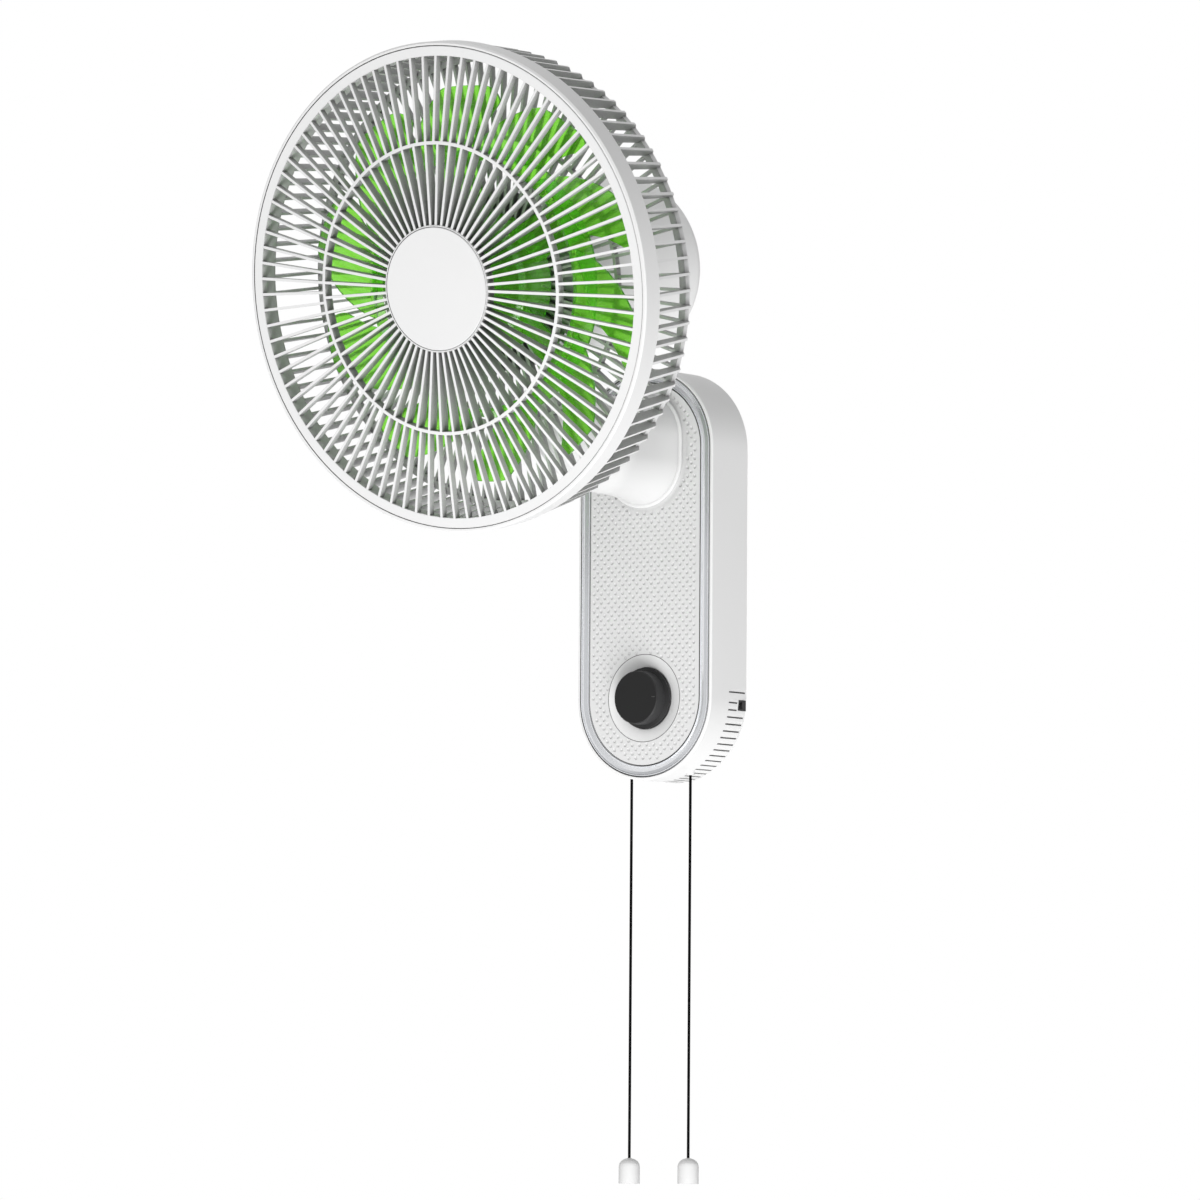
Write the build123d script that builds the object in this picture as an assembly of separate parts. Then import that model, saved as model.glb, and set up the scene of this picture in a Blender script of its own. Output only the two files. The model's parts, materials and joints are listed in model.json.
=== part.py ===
from build123d import *
import math
import os

# Wall mounted oscillating fan, in millimetres.
# Origin: on the wall, behind the middle of the base. +X right, +Y into the wall, +Z up.

# ---------------------------------------------------------------- driving dimensions
# base housing, a tall stadium; depths are measured from the wall
HOUSING_R = 62.0            # half width, and radius of both round ends
HOUSING_CENTRES = 188.0     # from the centre of one round end to the other
HOUSING_DEPTH = 46.0
SHELL = 2.0                 # moulded wall of the base
RIM_ROUND = 1.5
FLOOR_DEPTH = 8.0           # recess behind the floor, where the wall bracket lies
FLOOR = 2.5
SEAM = 0.4                  # visible joint between neighbouring mouldings
TRIM_WIDTH = 9.0
TRIM_THICK = 3.0
TRIM_RIDGE = 0.9
PANEL_FLANGE = 2.0
POST_R = 4.0
POST_X = 47.0
POST_Z = 72.0

# wall bracket and its hooks
BRACKET_WIDTH = 68.0
BRACKET_HEIGHT = 276.0
BRACKET_SHEET = 1.6
BRACKET_CORNER = 12.0
WALL_HOLE_R = 2.75
WALL_HOLES_X = 44.0
WALL_HOLES_Z = 200.0
HOOK_WIDTH = 12.0
HOOK_X = 22.0
HOOK_Z = 60.0
HOOK_LIP = 9.0
LOCK_SCREW_R = 2.0
LOCK_HEAD_R = 3.6
LOCK_DEPTH = 4.4

# mains cord gland at the right rear edge, and the circuit board
GLAND_DEPTH = 10.0
GLAND_HEIGHT = 8.0
GLAND_BELOW = 5.4           # below the centre of the lower round end
GLAND_IN = 4.6
BOARD_DEPTH = 17.0
BOARD_WIDTH = 64.0
BOARD_HEIGHT = 84.0
BOARD_Z = 4.0

# louvres round the foot of the housing
VENT_BACK = 1.6
VENT_FRONT = 22.6
VENT_STEP = 5.11            # degrees between neighbours
VENTS_A_SIDE = 17
VENT_WIDTH = 4.0            # across a louvre's mouth
VENT_SLIT = 0.7             # and at the inner face of the wall
VENT_TOP = 4.6              # height of the topmost louvre above the round end's centre

# speed dial
DISH_R = 32.9
DISH_SLOPE = 2.8
DISH_CUP_R = 23.6
DISH_CUP_DEPTH = 7.5
KNOB_R = 20.0
KNOB_FLANGE_R = 23.0
KNOB_PROUD = 11.0
SWITCH_SHAFT_R = 3.0
ROTARY_BODY = 30.0

# pull cords
CORD_X = 27.3
CORD_DEPTH = 23.3
CORD_R = 1.05
CORD_TOP_Z = -134.0
GRIP_TOP_Z = -440.0
GRIP_R = 8.0
GRIP_DOME = 6.4
GRIP_LENGTH = 19.4
GRIP_SOCKET = 12.0
BUSHING_R = 3.0
PLUNGER_R = 2.2
PLUNGER_LENGTH = 20.0

# trumpet neck and elbow
HORN_STRAIGHT = 8.0         # half the straight side of its section, a stadium
HORN_FOOT = 38.2            # half widths down its length, from the panel outwards
HORN_ROOT = 34.2
HORN_OUTER = 29.2
HORN_END = 25.0
HORN_OUTER_DEPTH = 104.0
HORN_COVE = 4.5
COVE_MIDDLE = 0.58          # a curve's middle, as a share of the way from its corner to its chord
FLARE_MIDDLE = 0.7
NECK_WALL = 2.4
NECK_TUBE = 18.0            # square steel tube inside the neck
NECK_TUBE_WALL = 2.0
NECK_FLANGE = 40.0

# head: a frame on the fan's axis, its local z forward, at the front rim of the guard
HEAD_Y = -298.15
HEAD_Z = 192.24
HEAD_TILT = 10.0            # degrees nose down at rest
SWING_BACK = 137.0          # swing axis behind the guard's rim
TILT_DROP = 76.0            # tilt pin below the fan's axis
LUG_R = 9.0
LUG_WIDTH = 16.0
EAR_R = 10.0
EAR_THICK = 7.2
EAR_GAP = 0.3
TILT_PIN_R = 3.0
FORK_DISC = 3.0
FORK_R = 22.0
KNUCKLE_R = 19.0
KNUCKLE_FLANGE = 4.0
SWING_SHAFT_R = 5.0
RUNNING = 0.05              # radial clearance of every turning fit

# guard
GUARD_R = 180.0
GUARD_BAND = 17.5           # width of the smooth band round the rim
BAND_WALL = 2.7
BEZEL = 10.5                # width of the front bezel
BEZEL_LIP = 4.0
SKIRT_WALL = 2.5
SKIRT_DEPTH = 15.0
RIB = 2.0                   # thickness of every rib
OUTER_RIBS = 90
INNER_RIBS = 60
DOME = 11.6                 # rise of the front grille at its middle
MID_RING_R = 106.5
MID_RING = 2.4
OUTER_RIB_DEEP = 5.5
INNER_RIB_DEEP = 8.0
HUB_R = 46.7
HUB_THICK = 8.8
CAP_R = 45.2
CAP_THICK = 2.2
REAR_DEPTH = 71.4           # rim to the back of the rear guard
REAR_TAPER = 7.7            # how far the side ribs lean in from the rim to the rear corner
SIDE_RIB_DEEP = 6.5
REAR_RIB_DEEP = 5.0
REAR_CHAMFER = 3.6
REAR_RING = 5.6             # ring that joins the ribs just inside the rear corner
REAR_RING_SET = 3.7
REAR_HUB_R = 38.0

# blade wheel
BLADES = 10
BLADE_TIP_R = 146.0
BLADE_PITCH = 15.0          # how far a blade steps back across its width
BLADE_THICK = 2.0
BLADE_ARC = 30.9            # degrees that a blade spans where it leaves the ring
BLADE_NARROWING = 0.16      # degrees less for each millimetre outwards
BLADE_START = 33.7          # angle of the blade's middle line at the ring
BLADE_SWEEP = 0.28          # degrees that it falls back for each millimetre outwards
BLADE_CURL = 0.0025
BLADE_CORNER = 9.0
WHEEL_RING_FRONT = 33.0     # stations behind the rim
WHEEL_RING_BACK = 53.0
WHEEL_RING_R = 92.0
WHEEL_RING_FLARE = 6.0
SPOKES = 5
SPOKE_ANGLE = 29.9
SPOKE_WIDTH = 27.1
SPOKE_RISE = 13.0
WHEEL_HUB_R = 51.0
WHEEL_HUB_FRONT = 36.0
WHEEL_HUB_BACK = 62.0
WHEEL_WALL = 2.2
SLEEVE_R = 9.0

# motor
SHAFT_R = 4.0
SHAFT_FRONT = 34.0
SHAFT_BACK = 134.0
MOTOR_BOSS_R = 16.0
MOTOR_NOSE = 9.6            # length of the nose in front of the motor's face
BRACKET_PLATE = 3.4
COVER_R = 67.0
COVER_BACK = 240.0
COVER_ROUND = 14.0
COVER_WALL = 2.5
COVER_SLOTS = 12
BRACKET_SLOTS = 12
STATOR_R = 42.0
STATOR_BORE = 22.0
STATOR_SLOTS = 12
STATOR_FRONT = 93.0
STATOR_THICK = 26.0
AIR_GAP = 0.4
WINDING_LONG = 8.0
CUP_WALL = 2.0
BEARING_R = 11.0
BEARING_THICK = 7.0

# swing drive
GEAR_MODULE = 0.8
GEAR_TEETH = 40
PINION_TEETH = 10
GEAR_FACE = 5.0
SWING_MOTOR_R = 24.0
SWING_MOTOR_THICK = 16.0
BOSS_R = 20.0
BUSH_WALL = 3.0

# ---------------------------------------------------------------- frames
WALL = Plane(origin=(0, 0, 0), x_dir=(1, 0, 0), z_dir=(0, -1, 0)).location
TILT = math.radians(HEAD_TILT)
FORWARD = Vector(0, -math.cos(TILT), -math.sin(TILT))
UPWARD = Vector(0, -math.sin(TILT), math.cos(TILT))
HEAD_CENTRE = Vector(0, HEAD_Y, HEAD_Z)
HEAD = Plane(origin=HEAD_CENTRE, x_dir=(1, 0, 0), z_dir=FORWARD).location
SWING_CENTRE = HEAD_CENTRE - FORWARD * SWING_BACK
SWING = Plane(origin=SWING_CENTRE, x_dir=(1, 0, 0), z_dir=UPWARD).location
TILT_CENTRE = SWING_CENTRE - UPWARD * TILT_DROP
FORK = Location((0, TILT_CENTRE.Y, TILT_CENTRE.Z))
END_Z = HOUSING_CENTRES / 2
DIAL = Pos(0, -END_Z, 0)
NECK = Pos(0, END_Z, 0)

# heights and depths that follow from the sizes above
FLOOR_FRONT = FLOOR_DEPTH + FLOOR
PANEL_BACK = HOUSING_DEPTH - TRIM_THICK
PANEL_R = HOUSING_R - SHELL - SEAM - TRIM_WIDTH
FLANGE_BACK = PANEL_BACK - PANEL_FLANGE
FORK_BASE = -(LUG_R + 0.5 + FORK_DISC)
ELBOW_TOP_Z = TILT_CENTRE.Z + FORK_BASE
BEND_R = ELBOW_TOP_Z - END_Z
ELBOW_DEPTH = -TILT_CENTRE.Y - BEND_R
KNUCKLE_TOP = -TILT_DROP + EAR_R + 0.7 + KNUCKLE_FLANGE
WASHER = 1.2
BOSS_FACE = KNUCKLE_TOP + WASHER + 0.1
BUSH_LONG = 10.0
GEAR_LOW = BOSS_FACE + BUSH_LONG + 0.4
GEAR_HIGH = GEAR_LOW + GEAR_FACE
PLATE_LOW = GEAR_HIGH + 2.6
GEAR_PLATE = 2.0
SWING_MOTOR_LOW = PLATE_LOW + GEAR_PLATE
GEAR_R = GEAR_MODULE * GEAR_TEETH / 2
PINION_R = GEAR_MODULE * PINION_TEETH / 2
MOTOR_FACE = REAR_DEPTH + 0.1
COVER_FRONT = MOTOR_FACE + BRACKET_PLATE
STATOR_BACK = STATOR_FRONT + STATOR_THICK
MOTOR_END = STATOR_BACK + WINDING_LONG + 4.0
BEZEL_R = GUARD_R - BEZEL
REAR_CORNER_R = GUARD_R - REAR_TAPER
REAR_RING_OUT = REAR_CORNER_R - REAR_RING_SET
REAR_RING_IN = REAR_RING_OUT - REAR_RING
BASE_UP = (Align.CENTER, Align.CENTER, Align.MIN)


# ---------------------------------------------------------------- shape helpers
def disc(radius, low, high):
    return Pos(0, 0, low) * Cylinder(radius, high - low, align=BASE_UP)


def ring(inner, outer, low, high):
    return disc(outer, low, high) - disc(inner, low - 1, high + 1)


def block(x0, x1, y0, y1, z0, z1):
    middle = Pos((x0 + x1) / 2, (y0 + y1) / 2, (z0 + z1) / 2)
    return middle * Box(x1 - x0, y1 - y0, z1 - z0)


def turned(*points):
    """A solid turned about Z from a closed (radius, height) outline."""
    outline = Polyline(*[(r, 0, h) for r, h in points], close=True)
    return revolve(make_face(outline), Axis.Z)


def bar_x(radius, x0, x1):
    """A round bar along X."""
    return Pos(x0, 0, 0) * Rot(0, 90, 0) * Cylinder(radius, x1 - x0, align=BASE_UP)


def bar_y(radius, y0, y1):
    """A round bar along Y."""
    return Pos(0, y0, 0) * Rot(-90, 0, 0) * Cylinder(radius, y1 - y0, align=BASE_UP)


def slab(radius, near, far):
    """A stadium-shaped block of the base between two distances from the wall."""
    outline = SlotCenterToCenter(HOUSING_CENTRES, 2 * radius, rotation=90)
    return extrude(Pos(0, 0, near) * outline, far - near)


def half_section(*points):
    """A flat face beside the Z axis, from (radius, depth) corners."""
    return make_face(Polyline(*[(r, 0, h) for r, h in points], close=True))


def stadium(section, reach):
    """A half section carried round a stadium whose two centres lie at plus and minus reach."""
    side = Pos(0, -reach, 0) * extrude(section, 2 * reach, dir=(0, 1, 0))
    end = Pos(0, reach, 0) * revolve(section, Axis.Z, 180)
    half = side + end
    return half + Rot(0, 0, 180) * half


def both_sides(shape):
    return [shape, mirror(shape, Plane.YZ)]


# ---------------------------------------------------------------- base
def vent_cutter(side, back, front):
    """A louvre at the foot of the housing: one steep flank above, one sloping flank below."""
    out = HOUSING_R + 1
    inside = HOUSING_R - SHELL - 1
    upper = side * VENT_WIDTH / 2
    section = Polyline(
        (upper, -out), (upper, -inside), (upper - side * VENT_SLIT, -inside), (-upper, -out), close=True
    )
    return extrude(Pos(0, 0, back) * make_face(section), front - back)


def vent_cutters():
    cord_angle = math.degrees(math.asin(CORD_X / HOUSING_R))
    cutters = []
    for side in (-1, 1):
        for k in range(VENTS_A_SIDE + 1):
            angle = k * VENT_STEP
            beside_cord = abs(angle - cord_angle) < VENT_STEP * 0.6
            front = CORD_DEPTH - BUSHING_R - 1.6 if beside_cord else VENT_FRONT
            beside_gland = side > 0 and angle > 90 - 2 * VENT_STEP
            back = GLAND_DEPTH + 1.2 if beside_gland else VENT_BACK
            if k > 0 or side > 0:
                cutters.append(DIAL * Rot(0, 0, side * angle) * vent_cutter(side, back, front))
        top = Pos(0, VENT_TOP, 0) * Rot(0, 0, side * 90) * vent_cutter(side, VENT_BACK, VENT_FRONT)
        cutters.append(DIAL * top)
    return cutters


def gland_block(grow):
    high = -GLAND_BELOW + GLAND_HEIGHT / 2 + grow
    low = -GLAND_BELOW - GLAND_HEIGHT / 2 - grow
    body = block(HOUSING_R - GLAND_IN, HOUSING_R - 0.3, low, high, 0, GLAND_DEPTH + grow)
    return DIAL * body


def post_places():
    return [Pos(sx * POST_X, sz * POST_Z, 0) for sx in (-1, 1) for sz in (-1, 1)]


def rear_housing():
    body = slab(HOUSING_R, 0, HOUSING_DEPTH)
    body = chamfer(body.faces().sort_by(Axis.Z)[-1].edges(), RIM_ROUND * 0.6)
    inner = HOUSING_R - SHELL
    body -= slab(inner, FLOOR_FRONT, HOUSING_DEPTH + 1)
    body -= slab(inner, -1, FLOOR_DEPTH)
    foot = -END_Z - HOUSING_R
    body += block(-6, 6, foot + 1, foot + 8, 0, FLOOR_DEPTH + 0.5)
    for place in board_places():
        body += place * block(-3, 3, -3, 3, FLOOR_FRONT - 0.5, BOARD_DEPTH)
    body -= vent_cutters()
    cuts = []
    for side in (-1, 1):
        cuts.append(Pos(side * CORD_X, foot, CORD_DEPTH) * bar_y(BUSHING_R + 0.05, -2, 20))
        hook_low = HOOK_Z - HOOK_LIP - 1
        slot = block(-HOOK_WIDTH / 2 - 1, HOOK_WIDTH / 2 + 1, hook_low, HOOK_Z + BRACKET_SHEET + 0.1, 0, 20)
        cuts.append(Pos(side * HOOK_X, 0, 0) * slot)
    for place in post_places():
        cuts.append(place * disc(1.7, 0, 20))
    cuts.append(Pos(0, foot, LOCK_DEPTH) * bar_y(LOCK_SCREW_R + 0.2, -2, 12))
    cuts.append(Pos(0, foot, LOCK_DEPTH) * bar_y(LOCK_HEAD_R + 0.3, -2, 2.5))
    cuts.append(gland_block(0.1) + DIAL * block(HOUSING_R - 2, HOUSING_R + 1, -9.5, -1.3, -1, GLAND_DEPTH + 0.1))
    return body - cuts


def wall_bracket():
    """Steel plate on the wall: folded edges, two hooks above and a tab for the lock screw below."""
    outline = chamfer(Rectangle(BRACKET_WIDTH, BRACKET_HEIGHT).vertices(), BRACKET_CORNER)
    plate = extrude(outline, BRACKET_SHEET)
    half = BRACKET_WIDTH / 2
    fold_high = FLOOR_DEPTH - 0.2
    straight = BRACKET_HEIGHT / 2 - BRACKET_CORNER - 2
    for fold in both_sides(block(half - BRACKET_SHEET, half, -straight, straight, 0, fold_high)):
        plate += fold
    stem_high = FLOOR_FRONT + 0.4 + BRACKET_SHEET
    for side in (-1, 1):
        stem = block(-HOOK_WIDTH / 2, HOOK_WIDTH / 2, HOOK_Z, HOOK_Z + BRACKET_SHEET, 0, stem_high)
        lip = block(-HOOK_WIDTH / 2, HOOK_WIDTH / 2, HOOK_Z, HOOK_Z + HOOK_LIP, stem_high - BRACKET_SHEET, stem_high)
        plate += Pos(side * HOOK_X, 0, 0) * (stem + lip)
    tab = -BRACKET_HEIGHT / 2
    plate += block(-8, 8, tab, tab + BRACKET_SHEET, 0, fold_high)
    holes = [
        Pos(sx * WALL_HOLES_X / 2, sz * WALL_HOLES_Z / 2, 0) * disc(WALL_HOLE_R, -1, 3)
        for sx in (-1, 1)
        for sz in (-1, 1)
    ]
    holes.append(Pos(0, tab, LOCK_DEPTH) * bar_y(LOCK_SCREW_R + 0.05, -3, 4))
    return plate - holes


def bracket_lock_screw():
    foot = -END_Z - HOUSING_R
    reach = -BRACKET_HEIGHT / 2 + 3 - foot
    screw = bar_y(LOCK_SCREW_R, 0.6, reach) + bar_y(LOCK_HEAD_R, 0.4, 2.4)
    return Pos(0, foot, LOCK_DEPTH) * screw


def hollow_arc(start, end, middle):
    """An arc that leaves start along the radius and bends towards the depth of end."""
    corner = Vector(end[0], 0, start[2])
    chord = (Vector(*start) + Vector(*end)) * 0.5
    return ThreePointArc(start, corner + (chord - corner) * middle, end)


def horn():
    """The trumpet neck: a cove where it leaves the panel, a long flare and a short taper."""
    low = HOUSING_DEPTH - 0.3
    high = ELBOW_DEPTH - SEAM
    foot = (HORN_FOOT, 0, HOUSING_DEPTH)
    root = (HORN_ROOT, 0, HOUSING_DEPTH + HORN_COVE)
    outer = (HORN_OUTER, 0, HORN_OUTER_DEPTH)
    section = make_face([
        Polyline(foot, (HORN_FOOT, 0, low), (0, 0, low), (0, 0, high), (HORN_END, 0, high), outer),
        hollow_arc(root, outer, FLARE_MIDDLE),
        hollow_arc(foot, root, COVE_MIDDLE),
    ])
    return stadium(section, HORN_STRAIGHT)


def horn_hollow():
    """The neck's inside, open to the housing and to the elbow."""
    thick = NECK_WALL + 1
    section = half_section(
        (0, FLANGE_BACK - 1),
        (HORN_ROOT - thick, FLANGE_BACK - 1),
        (HORN_OUTER - thick, HORN_OUTER_DEPTH),
        (HORN_END - NECK_WALL, ELBOW_DEPTH),
        (0, ELBOW_DEPTH),
    )
    return stadium(section, HORN_STRAIGHT)


def front_panel():
    """Front moulding: panel, stepped flange under the trim, screw posts and the trumpet neck."""
    edge = HOUSING_R - SHELL - SEAM
    panel = slab(PANEL_R, PANEL_BACK - 0.5, HOUSING_DEPTH)
    panel += slab(edge, FLANGE_BACK - 5, PANEL_BACK)
    panel -= slab(edge - SHELL, FLANGE_BACK - 6, FLANGE_BACK)
    panel += NECK * horn()
    for place in post_places():
        panel += place * block(-POST_R, POST_R, -POST_R, POST_R, FLOOR_FRONT + 0.1, FLANGE_BACK + 0.5)
    cuts = [NECK * horn_hollow()]
    cuts.append(DIAL * disc(DISH_R + SEAM, 0, HOUSING_DEPTH + 1))
    for place in post_places():
        cuts.append(place * disc(1.6, FLOOR_FRONT, FLOOR_FRONT + 14))
    return panel - cuts


def trim_ring():
    """Bright bead between the panel and the housing: two slopes that meet in a ridge."""
    outer = HOUSING_R - SHELL - SEAM
    inner = PANEL_R + SEAM
    ridge = inner + 0.55 * (outer - inner)
    section = half_section(
        (inner, PANEL_BACK),
        (inner, HOUSING_DEPTH - TRIM_RIDGE),
        (ridge, HOUSING_DEPTH + TRIM_RIDGE),
        (outer, HOUSING_DEPTH - TRIM_RIDGE),
        (outer, PANEL_BACK),
    )
    return stadium(section, END_Z)


def dial_dish():
    dish_low = HOUSING_DEPTH - DISH_SLOPE
    cup_low = HOUSING_DEPTH - DISH_CUP_DEPTH
    bowl = turned(
        (DISH_R, HOUSING_DEPTH),
        (DISH_CUP_R, dish_low),
        (DISH_CUP_R, cup_low),
        (SWITCH_SHAFT_R + 2.2, cup_low),
        (SWITCH_SHAFT_R + 2.2, cup_low - SHELL),
        (DISH_CUP_R + SHELL, cup_low - SHELL),
        (DISH_R, HOUSING_DEPTH - SHELL - 0.4),
    )
    return DIAL * bowl


def panel_screws():
    screw = disc(1.5, FLOOR_DEPTH - 1, FLOOR_FRONT + 12) + disc(3.2, FLOOR_DEPTH - 2.2, FLOOR_DEPTH - 0.05)
    return Compound(children=[place * screw for place in post_places()])


def neck_path(width, near, top_z):
    """A square bar of a given width that follows the neck: forward, round the bend and up."""
    start = (0, END_Z, near)
    bend = (0, END_Z, ELBOW_DEPTH)
    top = (0, ELBOW_TOP_Z, ELBOW_DEPTH + BEND_R)
    path = Wire([
        Edge.make_line(start, bend),
        Edge.make_tangent_arc(bend, Vector(0, 0, 1), top),
    ])
    bar = sweep(Pos(*start) * Rectangle(width, width), path=path)
    half = width / 2
    depth = ELBOW_DEPTH + BEND_R
    return bar + block(-half, half, ELBOW_TOP_Z - 0.5, top_z, depth - half, depth + half)


def neck_tube():
    """Bent steel tube on a flange: it carries the head and leads the wires."""
    near = FLOOR_FRONT
    tube = neck_path(NECK_TUBE, near, ELBOW_TOP_Z)
    half = NECK_FLANGE / 2
    tube += NECK * block(-half, half, -half, half, near, near + 3)
    return tube - neck_path(NECK_TUBE - 2 * NECK_TUBE_WALL, near - 1, ELBOW_TOP_Z + 1)


def neck_elbow():
    """Elbow cover: the neck's stadium turned a quarter circle upwards, bored for the steel tube."""
    outline = SlotCenterToCenter(2 * HORN_STRAIGHT, 2 * HORN_END, rotation=90)
    bend = Axis((0, ELBOW_TOP_Z, ELBOW_DEPTH), (-1, 0, 0))
    elbow = revolve(Pos(0, END_Z, ELBOW_DEPTH) * outline, bend, 90)
    return elbow - neck_path(NECK_TUBE + 2 * RUNNING, ELBOW_DEPTH - 1, ELBOW_TOP_Z + 1)


def neck_fork():
    """Cast fork on top of the neck tube; the head's lug tilts between its two ears."""
    inner = LUG_WIDTH / 2 + EAR_GAP
    fork = disc(FORK_R, FORK_BASE, FORK_BASE + FORK_DISC)
    ear = block(inner, inner + EAR_THICK, -EAR_R, EAR_R, FORK_BASE + 1, 0)
    ear += bar_x(EAR_R, inner, inner + EAR_THICK)
    for side in both_sides(ear):
        fork += side
    spigot = NECK_TUBE / 2 - NECK_TUBE_WALL - 0.5
    fork += block(-spigot, spigot, -spigot, spigot, FORK_BASE - 5, FORK_BASE + 1)
    return fork - bar_x(TILT_PIN_R + RUNNING, -30, 30)


def tilt_pin():
    """Hexagon bolt and nut through the fork and the lug."""
    reach = LUG_WIDTH / 2 + EAR_GAP + EAR_THICK + 0.1
    pin = bar_x(TILT_PIN_R, -reach, reach + 6)
    head = Rot(0, 90, 0) * extrude(RegularPolygon(5.6, 6), 4)
    return pin + Pos(-reach - 4, 0, 0) * head + Pos(reach, 0, 0) * head


def board_places():
    x = BOARD_WIDTH / 2 - 6
    z = BOARD_HEIGHT / 2 - 6
    return [Pos(sx * x, BOARD_Z + sz * z, 0) for sx in (-1, 1) for sz in (-1, 1)]


def control_board():
    """Circuit board with its relay, transformer, heat sink and one tall capacitor."""
    top = BOARD_DEPTH + 1.6
    half = BOARD_WIDTH / 2
    board = block(-half, half, BOARD_Z - BOARD_HEIGHT / 2, BOARD_Z + BOARD_HEIGHT / 2, BOARD_DEPTH, top)
    board += block(-26, -8, -20, -2, top - 0.2, top + 15)
    board += block(-2, 14, -18, -6, top - 0.2, top + 12)
    board += block(18, 28, -28, 20, top - 0.2, top + 8)
    return board + Pos(-16, 12, 0) * disc(6, top - 0.2, top + 14)


def motor_capacitor():
    box = block(-50, -12, -66, -48, FLOOR_FRONT, FLOOR_FRONT + 26)
    return chamfer(box.edges().filter_by(Axis.Z), 2)


def terminal_block():
    body = block(10, 50, -64, -52, FLOOR_FRONT, FLOOR_FRONT + 12)
    for k in range(5):
        x = 14 + 8 * k
        body -= block(x - 2.4, x + 2.4, -61, -55, FLOOR_FRONT + 5, FLOOR_FRONT + 14)
    return body


def rotary_switch():
    """Switch behind the dial: square body, threaded neck, shaft bore."""
    high = HOUSING_DEPTH - DISH_CUP_DEPTH - SHELL - 0.1
    half = ROTARY_BODY / 2
    body = block(-half, half, -half, half, high - 18, high)
    body = chamfer(body.edges().filter_by(Axis.Z), 3)
    body += disc(SWITCH_SHAFT_R + 2, high - 1, high + SHELL)
    return DIAL * (body - disc(SWITCH_SHAFT_R + RUNNING, high - 12, high + 5))


def knob():
    """Dial with a flat face, a straight skirt and a wider foot sunk in the dish."""
    face = HOUSING_DEPTH + KNOB_PROUD
    low = HOUSING_DEPTH - DISH_CUP_DEPTH + 1.5
    body = turned(
        (0, face),
        (KNOB_R - 0.7, face),
        (KNOB_R, face - 0.7),
        (KNOB_R + 0.4, HOUSING_DEPTH + 1.5),
        (KNOB_FLANGE_R, HOUSING_DEPTH),
        (KNOB_FLANGE_R, HOUSING_DEPTH - 2),
        (KNOB_R, low),
        (0, low),
    )
    return DIAL * (body - disc(SWITCH_SHAFT_R, low - 1, face - 5))


def switch_shaft():
    high = HOUSING_DEPTH - DISH_CUP_DEPTH - SHELL
    return DIAL * disc(SWITCH_SHAFT_R, high - 11, HOUSING_DEPTH + KNOB_PROUD - 5.2)


def pull_switch(side):
    """Switch over a cord exit, bored for its plunger."""
    low = CORD_TOP_Z - 2
    body = block(-10, 10, low, low + PLUNGER_LENGTH + 6, -8, 8)
    body -= bar_y(PLUNGER_R + RUNNING, low - 1, low + PLUNGER_LENGTH + 4)
    strut = block(-4, 4, low + 6, low + 20, FLOOR_FRONT - CORD_DEPTH, -7.5)
    return Pos(side * CORD_X, 0, CORD_DEPTH) * (body + strut)


def switch_plunger(side):
    rod = bar_y(PLUNGER_R, CORD_TOP_Z, CORD_TOP_Z + PLUNGER_LENGTH)
    return Pos(side * CORD_X, 0, CORD_DEPTH) * rod


def cord_bushing(side):
    """Black collar in the foot of the housing, where a pull cord leaves."""
    wall_z = -END_Z - math.sqrt(HOUSING_R ** 2 - CORD_X ** 2)
    collar = bar_y(BUSHING_R, wall_z - 2.2, wall_z + 5)
    collar -= bar_y(CORD_R + 0.35, wall_z - 4, wall_z + 7)
    return Pos(side * CORD_X, 0, CORD_DEPTH) * collar


def pull_cord(side):
    low = GRIP_TOP_Z - GRIP_SOCKET
    return Pos(side * CORD_X, 0, CORD_DEPTH) * bar_y(CORD_R, low, CORD_TOP_Z)


def pull_grip(side):
    """Thimble-shaped grip: a dome over a short straight skirt, with the cord's knot inside."""
    outline = [(CORD_R + 0.1, -GRIP_SOCKET)]
    for k in range(5):
        turn = math.radians(90 * (k + 0.5) / 4.5)
        outline.append((GRIP_R * math.sin(turn), GRIP_DOME * (math.cos(turn) - 1)))
    outline[1] = (CORD_R + 0.1, 0)
    outline += [(GRIP_R, -GRIP_LENGTH), (0, -GRIP_LENGTH), (0, -GRIP_SOCKET)]
    return Location((side * CORD_X, -CORD_DEPTH, GRIP_TOP_Z)) * turned(*outline)


def mains_gland():
    nub = DIAL * Pos(0, -GLAND_BELOW, GLAND_DEPTH / 2) * bar_x(2.6, HOUSING_R - 3, HOUSING_R + 1.4)
    return gland_block(0) + nub


# ---------------------------------------------------------------- swivel between neck and head
def tilt_knuckle():
    """Lug on the tilt pin below, round turntable above, socket for the swing shaft."""
    lug_low = -TILT_DROP
    half = LUG_WIDTH / 2
    flange_low = KNUCKLE_TOP - KNUCKLE_FLANGE
    body = Pos(0, 0, lug_low) * bar_x(LUG_R, -half, half)
    body += block(-half, half, -LUG_R, LUG_R, lug_low, flange_low + 1)
    body += disc(KNUCKLE_R, flange_low, KNUCKLE_TOP)
    body -= disc(SWING_SHAFT_R, lug_low + 6, KNUCKLE_TOP + 1)
    return body - Pos(0, 0, lug_low) * bar_x(TILT_PIN_R + RUNNING, -30, 30)


def swing_shaft():
    return disc(SWING_SHAFT_R, -TILT_DROP + 6, GEAR_HIGH + 1.5)


def swing_washer():
    return ring(SWING_SHAFT_R + 0.2, SWING_SHAFT_R + 8, KNUCKLE_TOP, KNUCKLE_TOP + WASHER)


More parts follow.
